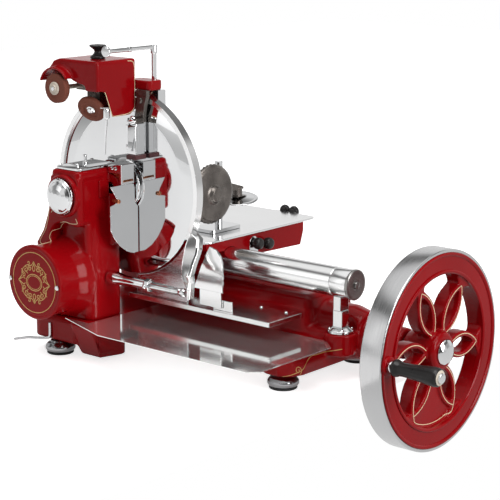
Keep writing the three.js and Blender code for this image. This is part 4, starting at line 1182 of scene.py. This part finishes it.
# The room that metal and enamel mirror: white walls with dark screens between them, in fixed places,
# under a dark lid with a white opening. The camera sees plain white, and the soft light is even.
def sky():
    world = bpy.data.worlds.new("studio")
    bpy.context.scene.world = world
    world.use_nodes = True
    tree = world.node_tree
    tree.nodes.clear()
    ray = step(tree, "ShaderNodeLightPath").outputs
    coords = step(tree, "ShaderNodeTexCoord").outputs["Generated"]
    way = step(tree, "ShaderNodeSeparateXYZ", ("Vector", coords)).outputs
    bearing = maths(tree, "MULTIPLY_ADD", maths(tree, "ARCTAN2", way["Y"], way["X"]), 1 / TAU, 0.5)
    height = maths(tree, "MULTIPLY_ADD", way["Z"], 0.5, 0.5)
    walls = ramp(tree, bearing, [
        (0.00, 0.85), (0.05, 0.85), (0.08, 0.35), (0.13, 0.30), (0.16, 0.9), (0.25, 0.9), (0.28, 0.12),
        (0.40, 0.06), (0.45, 0.12), (0.48, 0.85), (0.56, 0.85), (0.59, 0.40), (0.63, 0.45), (0.67, 0.85),
        (1.0, 0.85)])
    lid = ramp(tree, height, [
        (0.0, 0.85), (0.44, 0.75), (0.50, 0.5), (0.60, 0.0), (0.76, 0.0), (0.80, 0.12), (0.86, 0.2),
        (0.90, 0.95), (1.0, 0.95)])
    over = ramp(tree, height, [(0.0, 0.0), (0.47, 0.0), (0.53, 1.0), (0.74, 1.0), (0.80, 0.0), (1.0, 0.0)])
    first_colour, second_colour, mixed_colour = 6, 7, 2
    room = step(tree, "ShaderNodeMix", ("Factor", over), (first_colour, lid), (second_colour, walls),
                data_type="RGBA")

    def background(colour, strength=1.0):
        return step(tree, "ShaderNodeBackground", ("Color", colour), ("Strength", strength)).outputs[0]

    def either(choice, first, second):
        return step(tree, "ShaderNodeMixShader", (0, choice), (1, first), (2, second)).outputs[0]

    white = (1, 1, 1, 1)
    mirrored = background(room.outputs[mixed_colour])
    lit = either(ray["Is Glossy Ray"], background(white, 0.28), mirrored)
    through = maths(tree, "MAXIMUM", ray["Is Camera Ray"], ray["Is Transmission Ray"])
    step(tree, "ShaderNodeOutputWorld", ("Surface", either(through, lit, background(white))))


def lamp(name, kind, energy, place_m, aim_m, **sizes):
    data = bpy.data.lights.new(name, kind)
    data.energy = energy
    for key, value in sizes.items():
        setattr(data, key, value)
    made = placed(name, data)
    made.location = place_m
    made.rotation_euler = (Vector(aim_m) - Vector(place_m)).to_track_quat("-Z", "Y").to_euler()


# The photograph's camera: its focal length in pixels, the picture's width, its place and its turns.
def camera():
    focal_px, width_px, sensor_mm = 1622.0, 500, 36
    place_m, turn_deg, lift_deg, roll_deg = (1.954, -1.822, 0.771), 40.1, 12.58, 0.24
    data = bpy.data.cameras.new("camera")
    data.sensor_width = sensor_mm
    data.lens = focal_px * sensor_mm / width_px
    data.clip_end = 50
    made = placed("camera", data)
    az, el, roll = (math.radians(a) for a in (turn_deg, lift_deg, roll_deg))
    look = Vector((-math.sin(az) * math.cos(el), math.cos(az) * math.cos(el), -math.sin(el)))
    aim = look.to_track_quat("-Z", "Y").to_matrix().to_4x4()
    made.matrix_world = Matrix.Translation(Vector(place_m)) @ aim @ Matrix.Rotation(roll, 4, "Z")
    bpy.context.scene.camera = made


bpy.context.scene.view_settings.view_transform = "Standard"
stand()
sky()
lamp("high_soft", "SUN", 1.5, (0.5, -0.5, 3.0), (0.1, 0.1, 0.1), angle=math.radians(40))
lamp("left_panel", "AREA", 2.5, (-1.2, -1.9, 1.2), (0.1, 0.0, 0.2), shape="RECTANGLE", size=1.0, size_y=1.6)
lamp("right_panel", "AREA", 34, (2.4, 0.0, 1.0), (0.3, 0.1, 0.2), shape="RECTANGLE", size=0.9, size_y=1.6)
camera()
